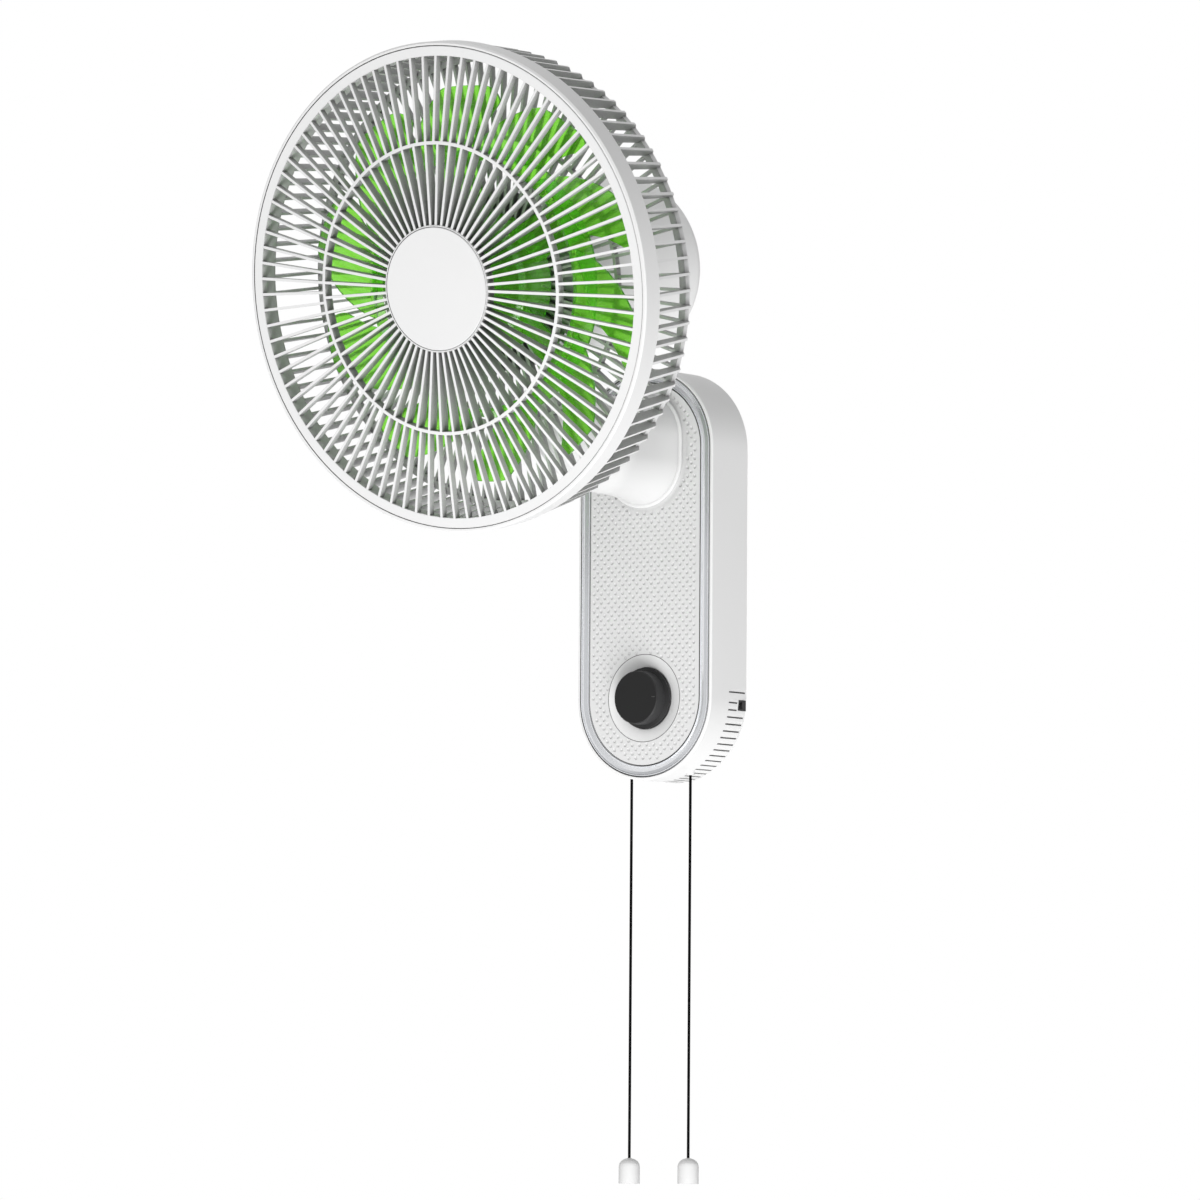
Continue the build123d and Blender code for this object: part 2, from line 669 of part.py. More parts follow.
def toothed_disc(module, teeth, first, last, hub, low, high):
    """A spur gear, or a sector of one from tooth first to last, about Z."""
    pitch_r = module * teeth / 2
    root = pitch_r - 1.15 * module
    tip = pitch_r + 0.85 * module
    step = 2 * math.pi / teeth
    root_half = step * 0.30
    tip_half = step * 0.12
    points = []
    for k in range(first, last + 1):
        middle = k * step
        for r, turn in ((root, -root_half), (tip, -tip_half), (tip, tip_half), (root, root_half)):
            points.append((r * math.cos(middle + turn), r * math.sin(middle + turn)))
    if last - first + 1 < teeth:
        points.append((0, 0))
    outline = make_face(Polyline(*points, close=True))
    return extrude(Pos(0, 0, low) * outline, high - low) + disc(hub, low, high)


def swing_gear():
    """Sector gear fixed on the swing shaft, its teeth facing the back of the motor."""
    gear = toothed_disc(GEAR_MODULE, GEAR_TEETH, -8, 8, SWING_SHAFT_R + 4, GEAR_LOW, GEAR_HIGH)
    gear = Rot(0, 0, 90) * gear
    return gear - disc(SWING_SHAFT_R, GEAR_LOW - 1, GEAR_HIGH + 1)


def swing_pinion():
    """Pinion on the swing motor's shaft, set half a tooth off the sector."""
    teeth = toothed_disc(GEAR_MODULE, PINION_TEETH, 0, PINION_TEETH - 1, 2.6, GEAR_LOW, GEAR_HIGH)
    pinion = Rot(0, 0, 90 + 180 / PINION_TEETH) * teeth + disc(2.2, GEAR_LOW, SWING_MOTOR_LOW + 6)
    return Pos(0, GEAR_R + PINION_R, 0) * pinion


# ---------------------------------------------------------------- motor
def motor_cover():
    """Bell over the motor, open to the front, flat over the turntable, with vents behind."""
    front = -COVER_FRONT
    back = -COVER_BACK
    to_swing = HEAD.inverse() * SWING
    reach = COVER_BACK
    below = block(-COVER_R, COVER_R, -reach, reach, BOSS_FACE - COVER_R, BOSS_FACE)
    outer = disc(COVER_R, back, front)
    outer = fillet(outer.faces().sort_by(Axis.Z)[0].edges(), COVER_ROUND) - to_swing * below
    inside = COVER_R - COVER_WALL
    inner = turned(
        (0, front + 1),
        (inside, front + 1),
        (inside, back + COVER_ROUND),
        (COVER_R - COVER_ROUND, back + COVER_WALL),
        (0, back + COVER_WALL),
    )
    boss = disc(BOSS_R, BOSS_FACE, BOSS_FACE + BUSH_LONG)
    kept = Pos(0, 0, COVER_WALL) * below + disc(BOSS_R, BOSS_FACE - 5, BOSS_FACE + BUSH_LONG)
    cover = (outer + to_swing * boss) - (inner - to_swing * kept)
    for rail in both_sides(block(24, COVER_R - 1, 6.5, 50, PLATE_LOW - 4, PLATE_LOW)):
        cover += (to_swing * rail) & disc(COVER_R - 1, back + 5, front)
    cuts = [to_swing * disc(SWING_SHAFT_R + BUSH_WALL, BOSS_FACE - 1, BOSS_FACE + BUSH_LONG + 1)]
    for k in range(COVER_SLOTS):
        slot = Pos(27, 0, back) * Box(18, 4, 12)
        cuts.append(Rot(0, 0, 360 / COVER_SLOTS * k) * slot)
    return cover - cuts


def motor_front_bracket():
    """Front shield: vented plate, bearing hub, clamp cup for the core and threaded nose."""
    face = -MOTOR_FACE
    back = -COVER_FRONT
    body = disc(COVER_R, back, face)
    body += ring(STATOR_R + 0.05, STATOR_R + CUP_WALL, -STATOR_FRONT - 7, back + 1)
    body += disc(BEARING_R + CUP_WALL, back - 11, face)
    body += disc(MOTOR_BOSS_R, face - 1, face + MOTOR_NOSE)
    cuts = [disc(BEARING_R, back - 12, back - 11 + BEARING_THICK)]
    cuts.append(disc(SHAFT_R + 0.4, back - 12, face + MOTOR_NOSE + 1))
    for k in range(BRACKET_SLOTS):
        slot = Pos(30, 0, face) * Box(17, 5, 12)
        cuts.append(Rot(0, 0, 360 / BRACKET_SLOTS * k) * slot)
    return body - cuts


def motor_rear_bracket():
    """Rear shield: a cup clamped on the core, with the rear bearing's hub."""
    end = -MOTOR_END
    rim = -STATOR_BACK + 7
    return turned(
        (SHAFT_R + 0.4, end - 4),
        (BEARING_R + CUP_WALL, end - 4),
        (BEARING_R + CUP_WALL, end),
        (STATOR_R + CUP_WALL, end),
        (STATOR_R + CUP_WALL, rim),
        (STATOR_R + 0.05, rim),
        (STATOR_R + 0.05, end + 3),
        (BEARING_R, end + 3),
        (BEARING_R, end - 2),
        (SHAFT_R + 0.4, end - 2),
    )


def stator_core():
    """Laminated core: a ring with winding slots open to the bore."""
    core = ring(STATOR_BORE, STATOR_R, -STATOR_BACK, -STATOR_FRONT)
    cuts = []
    for k in range(STATOR_SLOTS):
        slot = Pos(STATOR_BORE + 6, 0, -STATOR_BACK) * Box(9, 3.4, 3 * STATOR_THICK)
        cuts.append(Rot(0, 0, 360 / STATOR_SLOTS * k) * slot)
    return core - cuts


def stator_windings():
    """End turns of the winding, a fat ring at each face of the core."""
    inner = STATOR_BORE + 2
    outer = STATOR_R - 6
    front = ring(inner, outer, -STATOR_FRONT, -STATOR_FRONT + WINDING_LONG)
    back = ring(inner, outer, -STATOR_BACK - WINDING_LONG, -STATOR_BACK)
    return Compound(children=[front, back])


def bearing(low):
    return ring(SHAFT_R + RUNNING, BEARING_R - 0.02, low, low + BEARING_THICK - 1)


def swing_bush():
    outer = SWING_SHAFT_R + BUSH_WALL
    return ring(SWING_SHAFT_R + RUNNING, outer, BOSS_FACE, BOSS_FACE + BUSH_LONG)


def gear_plate():
    """Steel plate across the bell, carrying the swing motor over the sector gear."""
    reach = math.sqrt((COVER_R - COVER_WALL) ** 2 - PLATE_LOW ** 2) - 0.4
    plate = block(-reach, reach, SWING_SHAFT_R + 1.5, 50, PLATE_LOW, SWING_MOTOR_LOW)
    return plate - Pos(0, GEAR_R + PINION_R, 0) * disc(7.2, PLATE_LOW - 1, SWING_MOTOR_LOW + 1)


def swing_motor():
    """Flat synchronous motor that turns the head from side to side."""
    body = disc(SWING_MOTOR_R, SWING_MOTOR_LOW, SWING_MOTOR_LOW + SWING_MOTOR_THICK)
    body += disc(7, PLATE_LOW, SWING_MOTOR_LOW + 1)
    body -= disc(2.2 + RUNNING, PLATE_LOW - 1, SWING_MOTOR_LOW + 7)
    return Pos(0, GEAR_R + PINION_R, 0) * body


# ---------------------------------------------------------------- guard
def gap_wire(inner, outer, low, high):
    """Outline of the opening between two neighbouring ribs, at radii inner to outer."""
    half = RIB / 2
    corners = []
    for r, angle, side in ((inner, low, 1), (outer, low, 1), (outer, high, -1), (inner, high, -1)):
        along = math.sqrt(r ** 2 - half ** 2)
        turn = math.radians(angle)
        x = along * math.cos(turn) - side * half * math.sin(turn)
        y = along * math.sin(turn) + side * half * math.cos(turn)
        corners.append((x, y))
    return Wire.make_polygon(corners, close=True)


def ribbed_disc(inner, outer, bands, low, high):
    """A disc pierced by openings, which leave ribs: bands are (inner, outer, count, first angle)."""
    holes = []
    for r_in, r_out, count, first in bands:
        step = 360 / count
        holes += [gap_wire(r_in, r_out, first + step * k, first + step * (k + 1)) for k in range(count)]
    if inner > 0:
        holes.append(Wire([Edge.make_circle(inner)]))
    face = Face(Wire([Edge.make_circle(outer)]), holes)
    return extrude(Pos(0, 0, low) * face, high - low)


def dome(r):
    """Height of the front grille's face over the rim."""
    return DOME * (1 - (r / BEZEL_R) ** 2)


def front_guard():
    """Front grille: two bands of straight ribs, a ring between them, hub, bezel and skirt."""
    ring_in = MID_RING_R - MID_RING / 2
    ring_out = MID_RING_R + MID_RING / 2
    rim = BEZEL_R + 1.6
    bands = [
        (ring_out, BEZEL_R, OUTER_RIBS, 2),
        (HUB_R, ring_in, INNER_RIBS, 0),
    ]
    ribs = ribbed_disc(HUB_R - 0.8, rim, bands, -20, 20)
    middle = dome(MID_RING_R)
    high = dome(HUB_R) - 0.3
    grille = turned(
        (HUB_R - 1, high),
        (MID_RING_R, middle),
        (rim + 1, -0.3),
        (rim + 1, -OUTER_RIB_DEEP),
        (MID_RING_R, middle - OUTER_RIB_DEEP),
        (MID_RING_R, middle - INNER_RIB_DEEP),
        (HUB_R - 1, high - INNER_RIB_DEEP),
    )
    wall = BEZEL_R + 0.3
    lip_r = GUARD_R - BAND_WALL - SEAM
    guard = ribs & grille
    guard += turned(
        (wall, 0),
        (lip_r - 0.5, 0),
        (lip_r, -0.5),
        (lip_r, -BEZEL_LIP),
        (BEZEL_R + SKIRT_WALL, -BEZEL_LIP),
        (BEZEL_R + SKIRT_WALL, -SKIRT_DEPTH),
        (wall, -SKIRT_DEPTH),
    )
    hub_low = dome(HUB_R) - HUB_THICK
    hub_high = dome(HUB_R) - CAP_THICK
    return guard + turned(
        (0, hub_low),
        (HUB_R - 0.4, hub_low),
        (HUB_R - 0.4, dome(HUB_R)),
        (CAP_R + SEAM, dome(HUB_R)),
        (CAP_R + SEAM, hub_high),
        (0, hub_high),
    )


def hub_cap():
    """Plain round cover let into the hub of the grille."""
    low = dome(HUB_R) - CAP_THICK
    cap = disc(CAP_R, low, dome(HUB_R) + 0.3)
    return chamfer(cap.faces().sort_by(Axis.Z)[-1].edges(), 0.5)


def rear_guard():
    """Basket behind the blades: bent ribs from the band round the corner to the middle."""
    back = -REAR_DEPTH
    front = back + REAR_RIB_DEEP
    band_low = -GUARD_BAND
    band_in = GUARD_R - BAND_WALL
    side_in = REAR_CORNER_R - SIDE_RIB_DEEP
    flange_in = band_in - SIDE_RIB_DEEP
    bands = [
        (REAR_RING_OUT, GUARD_R + 20, OUTER_RIBS, 2),
        (MID_RING_R + MID_RING / 2, REAR_RING_IN, OUTER_RIBS, 2),
        (REAR_HUB_R, MID_RING_R - MID_RING / 2, INNER_RIBS, 0),
    ]
    rib_high = band_low + 1
    ribs = ribbed_disc(MOTOR_BOSS_R + 0.3, GUARD_R + 30, bands, back - 1, front)
    side_bands = [(side_in - 1, GUARD_R + 20, OUTER_RIBS, 2)]
    ribs += ribbed_disc(side_in - 2, GUARD_R + 30, side_bands, front, band_low + 4)
    basket = turned(
        (0, front),
        (side_in, front),
        (flange_in + 0.5, rib_high),
        (GUARD_R - 0.6, rib_high),
        (GUARD_R - 0.6, band_low),
        (REAR_CORNER_R, back + REAR_CHAMFER),
        (REAR_CORNER_R - REAR_CHAMFER, back),
        (0, back),
    )
    ledge = -BEZEL_LIP - 0.2
    ledge_in = BEZEL_R + SKIRT_WALL + 0.3
    return (ribs & basket) + turned(
        (band_in, 0),
        (GUARD_R - 1.2, 0),
        (GUARD_R, -1.2),
        (GUARD_R, band_low),
        (flange_in, band_low),
        (flange_in, band_low + 2.0),
        (band_in, band_low + 2.0),
        (band_in, ledge - 2.5),
        (ledge_in, ledge - 2.5),
        (ledge_in, ledge),
        (band_in, ledge),
    )


def guard_nut():
    """Ring nut that clamps the rear guard on the motor's nose."""
    low = -REAR_DEPTH + REAR_RIB_DEEP + 0.05
    high = -MOTOR_FACE + MOTOR_NOSE
    nut = ring(MOTOR_BOSS_R + 0.05, MOTOR_BOSS_R + 10, low, high)
    cuts = [Rot(0, 0, 60 * k) * Pos(MOTOR_BOSS_R + 10, 0, low) * Box(4, 6, 20) for k in range(6)]
    return nut - cuts


# ---------------------------------------------------------------- blade wheel
def blade_sheet(radii, pitch, sweep_of, width_of, middle, camber):
    """A thin cambered sheet lofted through flat sections that face outwards along the radius."""
    sections = []
    for r in radii:
        turn = sweep_of(r)
        outward = Vector(math.cos(turn), math.sin(turn), 0)
        across = Vector(-math.sin(turn), math.cos(turn), 0)
        plane = Plane(origin=outward * r + Vector(0, 0, middle), x_dir=across, z_dir=outward)
        half = width_of(r) * 0.5 + 3
        rise = -pitch * 0.5 * half / (half - 3)
        low = Vector(-half, rise * -1)
        high = Vector(half, rise)
        bow = Vector(0, camber)
        shift = Vector(0, BLADE_THICK / 2)
        upper = ThreePointArc(low + shift, bow + shift, high + shift)
        lower = ThreePointArc(high - shift, bow - shift, low - shift)
        sides = [Line(high + shift, high - shift), Line(low - shift, low + shift)]
        sections.append(plane * make_face([upper, sides[0], lower, sides[1]]))
    return loft(sections, ruled=True)


def blade_plan(radii, sweep_of, width_of, round_r):
    """The outline of a blade seen from the front, with round outer corners."""
    lead, trail = [], []
    for r in radii:
        half = width_of(r) * 0.5 / r
        lead.append((r * math.cos(sweep_of(r) - half), r * math.sin(sweep_of(r) - half)))
        trail.append((r * math.cos(sweep_of(r) + half), r * math.sin(sweep_of(r) + half)))
    tip_turn = sweep_of(radii[-1])
    tip = (radii[-1] * math.cos(tip_turn), radii[-1] * math.sin(tip_turn))
    edges = [
        Spline(*lead),
        ThreePointArc(lead[-1], tip, trail[-1]),
        Spline(*reversed(trail)),
        Line(trail[0], lead[0]),
    ]
    outline = make_face(edges)
    if round_r > 0:
        corners = outline.vertices().filter_by(lambda p: p.center().length > radii[-1] - 1)
        outline = fillet(corners, round_r)
    return extrude(Pos(0, 0, -WHEEL_HUB_BACK - 5) * outline, WHEEL_HUB_BACK)


def outer_blade():
    def sweep_of(r):
        out = r - WHEEL_RING_R
        return math.radians(BLADE_START - BLADE_SWEEP * out - BLADE_CURL * out ** 2)

    def width_of(r):
        return r * math.radians(BLADE_ARC - BLADE_NARROWING * (r - WHEEL_RING_R))

    root = WHEEL_RING_R + 1.5
    radii = [root + (BLADE_TIP_R - root) * k / 3 for k in range(4)]
    middle = -(WHEEL_RING_FRONT + WHEEL_RING_BACK) / 2 - 1
    sheet = blade_sheet(radii[:-1] + [BLADE_TIP_R + 2], -BLADE_PITCH, sweep_of, width_of, middle, 2.5)
    return sheet & blade_plan(radii, sweep_of, width_of, BLADE_CORNER)


def inner_spoke():
    def sweep_of(r):
        return math.radians(SPOKE_ANGLE - 0.1 * (r - WHEEL_HUB_R))

    def width_of(r):
        return SPOKE_WIDTH + 0.1 * (r - WHEEL_HUB_R)

    reach = WHEEL_RING_R + WHEEL_RING_FLARE / 2
    inner = WHEEL_HUB_R - 4.5
    radii = [inner, (inner + reach) / 2, reach]
    middle = -(WHEEL_HUB_FRONT + WHEEL_HUB_BACK) / 2 + 2
    sheet = blade_sheet([inner - 1, radii[1], reach + 1], -SPOKE_RISE, sweep_of, width_of, middle, 1.5)
    return sheet & blade_plan(radii, sweep_of, width_of, 0)


def fan_blades():
    """Blade wheel in one moulding: hub cup, five spokes, a conical ring and ten swept blades."""
    front = -WHEEL_HUB_FRONT
    back = -WHEEL_HUB_BACK
    shoulder = WHEEL_HUB_R - 6
    wheel = turned(
        (SHAFT_R, front),
        (shoulder - 4, front),
        (shoulder, front - 3),
        (WHEEL_HUB_R, back),
        (WHEEL_HUB_R - WHEEL_WALL, back),
        (shoulder - WHEEL_WALL, front - 4),
        (SLEEVE_R, front - 3),
        (SLEEVE_R, back + 2),
        (SHAFT_R, back + 2),
    )
    ring_front = -WHEEL_RING_FRONT
    ring_back = -WHEEL_RING_BACK
    flare = WHEEL_RING_R + WHEEL_RING_FLARE
    wheel += turned(
        (WHEEL_RING_R, ring_front),
        (WHEEL_RING_R + WHEEL_WALL, ring_front),
        (flare + WHEEL_WALL, ring_back),
        (flare, ring_back),
    )
    blade = outer_blade()
    spoke = inner_spoke()
    vanes = [Rot(0, 0, 360 / BLADES * k) * blade for k in range(BLADES)]
    vanes += [Rot(0, 0, 360 / SPOKES * k) * spoke for k in range(SPOKES)]
    wheel += vanes
    return wheel - block(-SLEEVE_R - 1, SLEEVE_R + 1, -1.6, 1.6, back, back + 5)


def drive_pin():
    return Pos(0, 0, -WHEEL_HUB_BACK + 3.4) * bar_x(1.5, -SLEEVE_R + 0.5, SLEEVE_R - 0.5)


def motor_shaft():
    shaft = disc(SHAFT_R, -SHAFT_BACK, -SHAFT_FRONT + 8)
    return shaft - Pos(0, 0, -WHEEL_HUB_BACK + 3.4) * bar_x(1.5, -SLEEVE_R, SLEEVE_R)


def blade_nut():
    """Domed nut that holds the blade wheel on the shaft."""
    low = -WHEEL_HUB_FRONT + 0.05
    nut = disc(12, low, low + 12)
    nut = chamfer(nut.faces().sort_by(Axis.Z)[-1].edges(), 3)
    return nut - disc(SHAFT_R, low - 1, -SHAFT_FRONT + 8.1)


def rotor_core():
    return ring(SHAFT_R, STATOR_BORE - AIR_GAP, -STATOR_BACK, -STATOR_FRONT)


# ---------------------------------------------------------------- placing and writing
NODES = {
    "wall_bracket": WALL * wall_bracket(),
    "bracket_lock_screw": WALL * bracket_lock_screw(),
    "rear_housing": WALL * rear_housing(),
    "front_panel": WALL * front_panel(),
    "trim_ring": WALL * trim_ring(),
    "dial_dish": WALL * dial_dish(),
    "panel_screws": WALL * panel_screws(),
    "neck_tube": WALL * neck_tube(),
    "neck_elbow": WALL * neck_elbow(),
    "neck_fork": FORK * neck_fork(),
    "tilt_pin": FORK * tilt_pin(),
    "control_board": WALL * control_board(),
    "motor_capacitor": WALL * motor_capacitor(),
    "terminal_block": WALL * terminal_block(),
    "rotary_switch": WALL * rotary_switch(),
    "mains_gland": WALL * mains_gland(),
    "knob": WALL * knob(),
    "switch_shaft": WALL * switch_shaft(),
    "tilt_knuckle": SWING * tilt_knuckle(),
    "swing_shaft": SWING * swing_shaft(),
    "swing_washer": SWING * swing_washer(),
    "swing_gear": SWING * swing_gear(),
    "swing_pinion": SWING * swing_pinion(),
    "swing_bush": SWING * swing_bush(),
    "gear_plate": SWING * gear_plate(),
    "swing_motor": SWING * swing_motor(),
    "motor_cover": HEAD * motor_cover(),
    "motor_front_bracket": HEAD * motor_front_bracket(),
    "motor_rear_bracket": HEAD * motor_rear_bracket(),
    "stator_core": HEAD * stator_core(),
    "stator_windings": HEAD * stator_windings(),
    "front_bearing": HEAD * bearing(-COVER_FRONT - 10.9),
    "rear_bearing": HEAD * bearing(-MOTOR_END - 1.9),
    "rear_guard": HEAD * rear_guard(),
    "guard_nut": HEAD * guard_nut(),
    "front_guard": HEAD * front_guard(),
    "hub_cap": HEAD * hub_cap(),
    "fan_blades": HEAD * fan_blades(),
    "drive_pin": HEAD * drive_pin(),
    "motor_shaft": HEAD * motor_shaft(),
    "blade_nut": HEAD * blade_nut(),
    "rotor_core": HEAD * rotor_core(),
}
for side, word in ((-1, "left"), (1, "right")):
    NODES["pull_switch_" + word] = WALL * pull_switch(side)
    NODES["cord_bushing_" + word] = WALL * cord_bushing(side)
    NODES["switch_plunger_" + word] = WALL * switch_plunger(side)
    NODES["pull_cord_" + word] = WALL * pull_cord(side)
    NODES["pull_grip_" + word] = pull_grip(side)

os.makedirs("parts", exist_ok=True)
for name, shape in NODES.items():
    export_step(shape, "parts/" + name + ".step")
print(len(NODES), "nodes written")
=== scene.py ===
# %% [markdown]
# # A wall mounted fan, dressed for its portrait
#
# The CAD model gives every rigid piece its size and place. This lesson loads that
# model as a fixed frame, looks at it from the photograph's viewpoint, gives each
# piece its finish, some of them with painted shade, and adds what is too fine for the
# CAD: the moulded dimples in the panel, the lips of the silver bead, the dark rails of
# painted shade in the joints, the rolled edge at the neck's foot, the mark on the dial,
# the louvre blades and the braid of the pull cords.

# %% Load the frame
import json
import math
import bmesh
import bpy
from mathutils import Matrix, Vector


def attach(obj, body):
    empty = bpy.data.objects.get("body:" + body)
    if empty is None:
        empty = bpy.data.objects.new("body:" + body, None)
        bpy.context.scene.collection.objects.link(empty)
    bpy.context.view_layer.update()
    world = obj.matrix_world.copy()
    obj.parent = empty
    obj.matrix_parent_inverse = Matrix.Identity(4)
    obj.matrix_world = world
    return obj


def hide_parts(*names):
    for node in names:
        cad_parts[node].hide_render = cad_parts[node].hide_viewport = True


def rounded(box, unit=1, places=3):
    """The two corners of a box, short enough to print."""
    return [[round(unit * v, places) for v in corner] for corner in box]


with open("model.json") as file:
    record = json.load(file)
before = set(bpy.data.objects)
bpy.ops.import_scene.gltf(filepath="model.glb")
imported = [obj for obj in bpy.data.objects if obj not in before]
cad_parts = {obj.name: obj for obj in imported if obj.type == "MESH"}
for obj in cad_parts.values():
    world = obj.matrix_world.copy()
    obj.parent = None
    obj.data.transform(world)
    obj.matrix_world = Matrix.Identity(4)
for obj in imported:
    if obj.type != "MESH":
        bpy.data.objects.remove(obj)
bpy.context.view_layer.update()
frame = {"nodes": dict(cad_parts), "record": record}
nodes = frame["nodes"]

# %% [markdown]
# The photograph was taken with a very long lens from the lower right: the guard's
# circles are nearly perfect ellipses, and lines into the wall hardly converge. A
# camera can be steered by hand until the view looks right. Here its turns and its
# place were solved from the guard's circles, the round ends of the base and the
# plumb cords instead: a lens of 231 mm from almost six metres away gives the view.

# %% Camera
YAW = math.radians(36.142)
PITCH = math.radians(4.511)
ROLL = math.radians(0.398)
CAMERA_SPOT = (3.3933, -4.7494, -0.4775)
LENS_MM = 231.0
SENSOR_MM = 36.0
CLIP_NEAR, CLIP_FAR = 0.1, 50


def add_object(name, data):
    """An object with this name and data, linked to the scene."""
    thing = bpy.data.objects.new(name, data)
    bpy.context.scene.collection.objects.link(thing)
    return thing


ahead = Vector((
    -math.sin(YAW) * math.cos(PITCH),
    math.cos(YAW) * math.cos(PITCH),
    math.sin(PITCH),
))
level = Vector((math.cos(YAW), math.sin(YAW), 0))
above = level.cross(ahead)
across = math.cos(ROLL) * level + math.sin(ROLL) * above
upright = math.cos(ROLL) * above - math.sin(ROLL) * level

lens = bpy.data.cameras.new("camera")
lens.lens = LENS_MM
lens.sensor_width = SENSOR_MM
lens.clip_start, lens.clip_end = CLIP_NEAR, CLIP_FAR
camera = add_object("camera", lens)
camera.matrix_world = Matrix((
    (across.x, upright.x, -ahead.x, CAMERA_SPOT[0]),
    (across.y, upright.y, -ahead.y, CAMERA_SPOT[1]),
    (across.z, upright.z, -ahead.z, CAMERA_SPOT[2]),
    (0, 0, 0, 1),
))
bpy.context.scene.camera = camera
print("camera", [round(v, 3) for v in camera.location])

# %% [markdown]
# Two thin braided cords hang straight down from collars in the foot of the base.
# Each is a smooth curve with a round section, through the same points as the CAD
# cord. A weight at the end keeps it taut, so four points down one line are enough.
# The cord's radius is written on the points and the bevel is one metre, because
# Blender takes a curve's box from the radius of its points: the other way round,
# the box would be a metre too large on every side.

# %% Pull cords
CORD_X = 0.0273
CORD_Y = -0.0233
CORD_TOP = -0.134
CORD_END = -0.452
CORD_RADIUS = 0.00105
CORD_POINTS = 4


def hanging_cord(name, x):
    """A straight round cord at this x, from its switch down to the knot in its grip."""
    curve = bpy.data.curves.new(name, "CURVE")
    curve.dimensions = "3D"
    curve.bevel_depth = 1.0
    curve.bevel_resolution = 3
    curve.use_fill_caps = True
    line = curve.splines.new("NURBS")
    line.points.add(CORD_POINTS - 1)
    for k, point in enumerate(line.points):
        z = CORD_TOP + (CORD_END - CORD_TOP) * k / (CORD_POINTS - 1)
        point.co = (x, CORD_Y, z, 1)
        point.radius = CORD_RADIUS
    line.order_u = 3
    line.use_endpoint_u = True
    return add_object(name, curve)


cords = []
for word, x in (("left", -CORD_X), ("right", CORD_X)):
    cord = hanging_cord("braided_cord_" + word, x)
    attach(cord, "pull_" + word)
    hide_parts("pull_cord_" + word)
    cords.append(cord)
print("cord length", round(CORD_TOP - CORD_END, 3), "m")

# %% [markdown]
# A material is a small graph of nodes with links between their sockets. Written out,
# each node takes several lines, so two helpers keep the graphs below readable. The
# first makes a node and fills its sockets, with a link where it is given another
# node's output and with a constant otherwise. The second makes a colour ramp, which
# turns a number from 0 to 1 into a colour.

# %% Helpers for nodes
def add_node(graph, kind, inputs=None, operation=None):
    """A shader node of this kind, with these sockets linked or set."""
    node = graph.nodes.new("ShaderNode" + kind)
    if operation:
        node.operation = operation
    for socket, value in (inputs or {}).items():
        if isinstance(value, bpy.types.NodeSocket):
            graph.links.new(value, node.inputs[socket])
        else:
            node.inputs[socket].default_value = value
    return node


def add_ramp(graph, factor, *stops):
    """The colour of a ramp over this socket, through stops of a position and a colour."""
    ramp = add_node(graph, "ValToRGB", {"Fac": factor})
    line = ramp.color_ramp.elements
    for end, (position, colour) in zip((line[0], line[1]), (stops[0], stops[-1])):
        end.position = position
        end.color = (*colour, 1)
    for position, colour in stops[1:-1]:
        line.new(position).color = (*colour, 1)
    return ramp.outputs["Color"]


def scaled(graph, colour, factor):
    """The colour times the factor, both of them sockets."""
    times = add_node(graph, "VectorMath", {0: colour, "Scale": factor}, "SCALE")
    return times.outputs["Vector"]


def shader_of(material):
    """The Principled shader that a new material comes with."""
    return material.node_tree.nodes["Principled BSDF"]


# %% [markdown]
# Real mouldings are never one flat colour: the tone drifts slightly over a hand's
# width. Where pieces stand close together little light arrives between them, and
# that shade is painted into the colour too. Painted images could hold both, but every
# piece would have to be unwrapped and painted. Noise gives the drift, and ambient
# occlusion, which measures how hidden a point is, gives the painted shade, on any
# piece and without an image.

# %% Clouds and painted shade
CLOUD_SCALE, CLOUD_DETAIL = 9.0, 3.0
CLOUD_FROM, CLOUD_TO = 0.35, 0.65
SHADE_SAMPLES = 6


def clouded(graph, place, colour, cloud):
    """The colour, drifting by this share to either side."""
    drift = add_node(graph, "TexNoise", {
        "Vector": place.outputs["Object"], "Scale": CLOUD_SCALE, "Detail": CLOUD_DETAIL,
    })
    low = [c * (1 - cloud) for c in colour]
    high = [min(1.0, c * (1 + cloud)) for c in colour]
    return add_ramp(graph, drift.outputs["Fac"], (CLOUD_FROM, low), (CLOUD_TO, high))


def shaded(graph, colour, shade, hidden, open_at, near):
    """The colour with painted shade, darkened by up to this shade where a point is hidden
    from near by.
    """
    gap = add_node(graph, "AmbientOcclusion", {"Distance": near})
    gap.samples = SHADE_SAMPLES
    light = add_node(graph, "MapRange", {
        "Value": gap.outputs["AO"],
        "From Min": hidden,
        "From Max": open_at,
        "To Min": 1 - shade,
        "To Max": 1.0,
    })
    return scaled(graph, colour, light.outputs["Result"])


# %% [markdown]
# Every finish below starts from the same short recipe: a Principled shader with such
# a clouded colour, with painted shade if the piece asks for it, and a fine bump,
# because the gloss of a moulding breaks up over a skin texture of about half a millimetre.

# %% A helper for finishes
SHEEN = "Specular IOR Level"
PLAIN_SHEEN = 0.35
SKIN_DETAIL = 2.0
SKIN_DEPTH = 0.0002


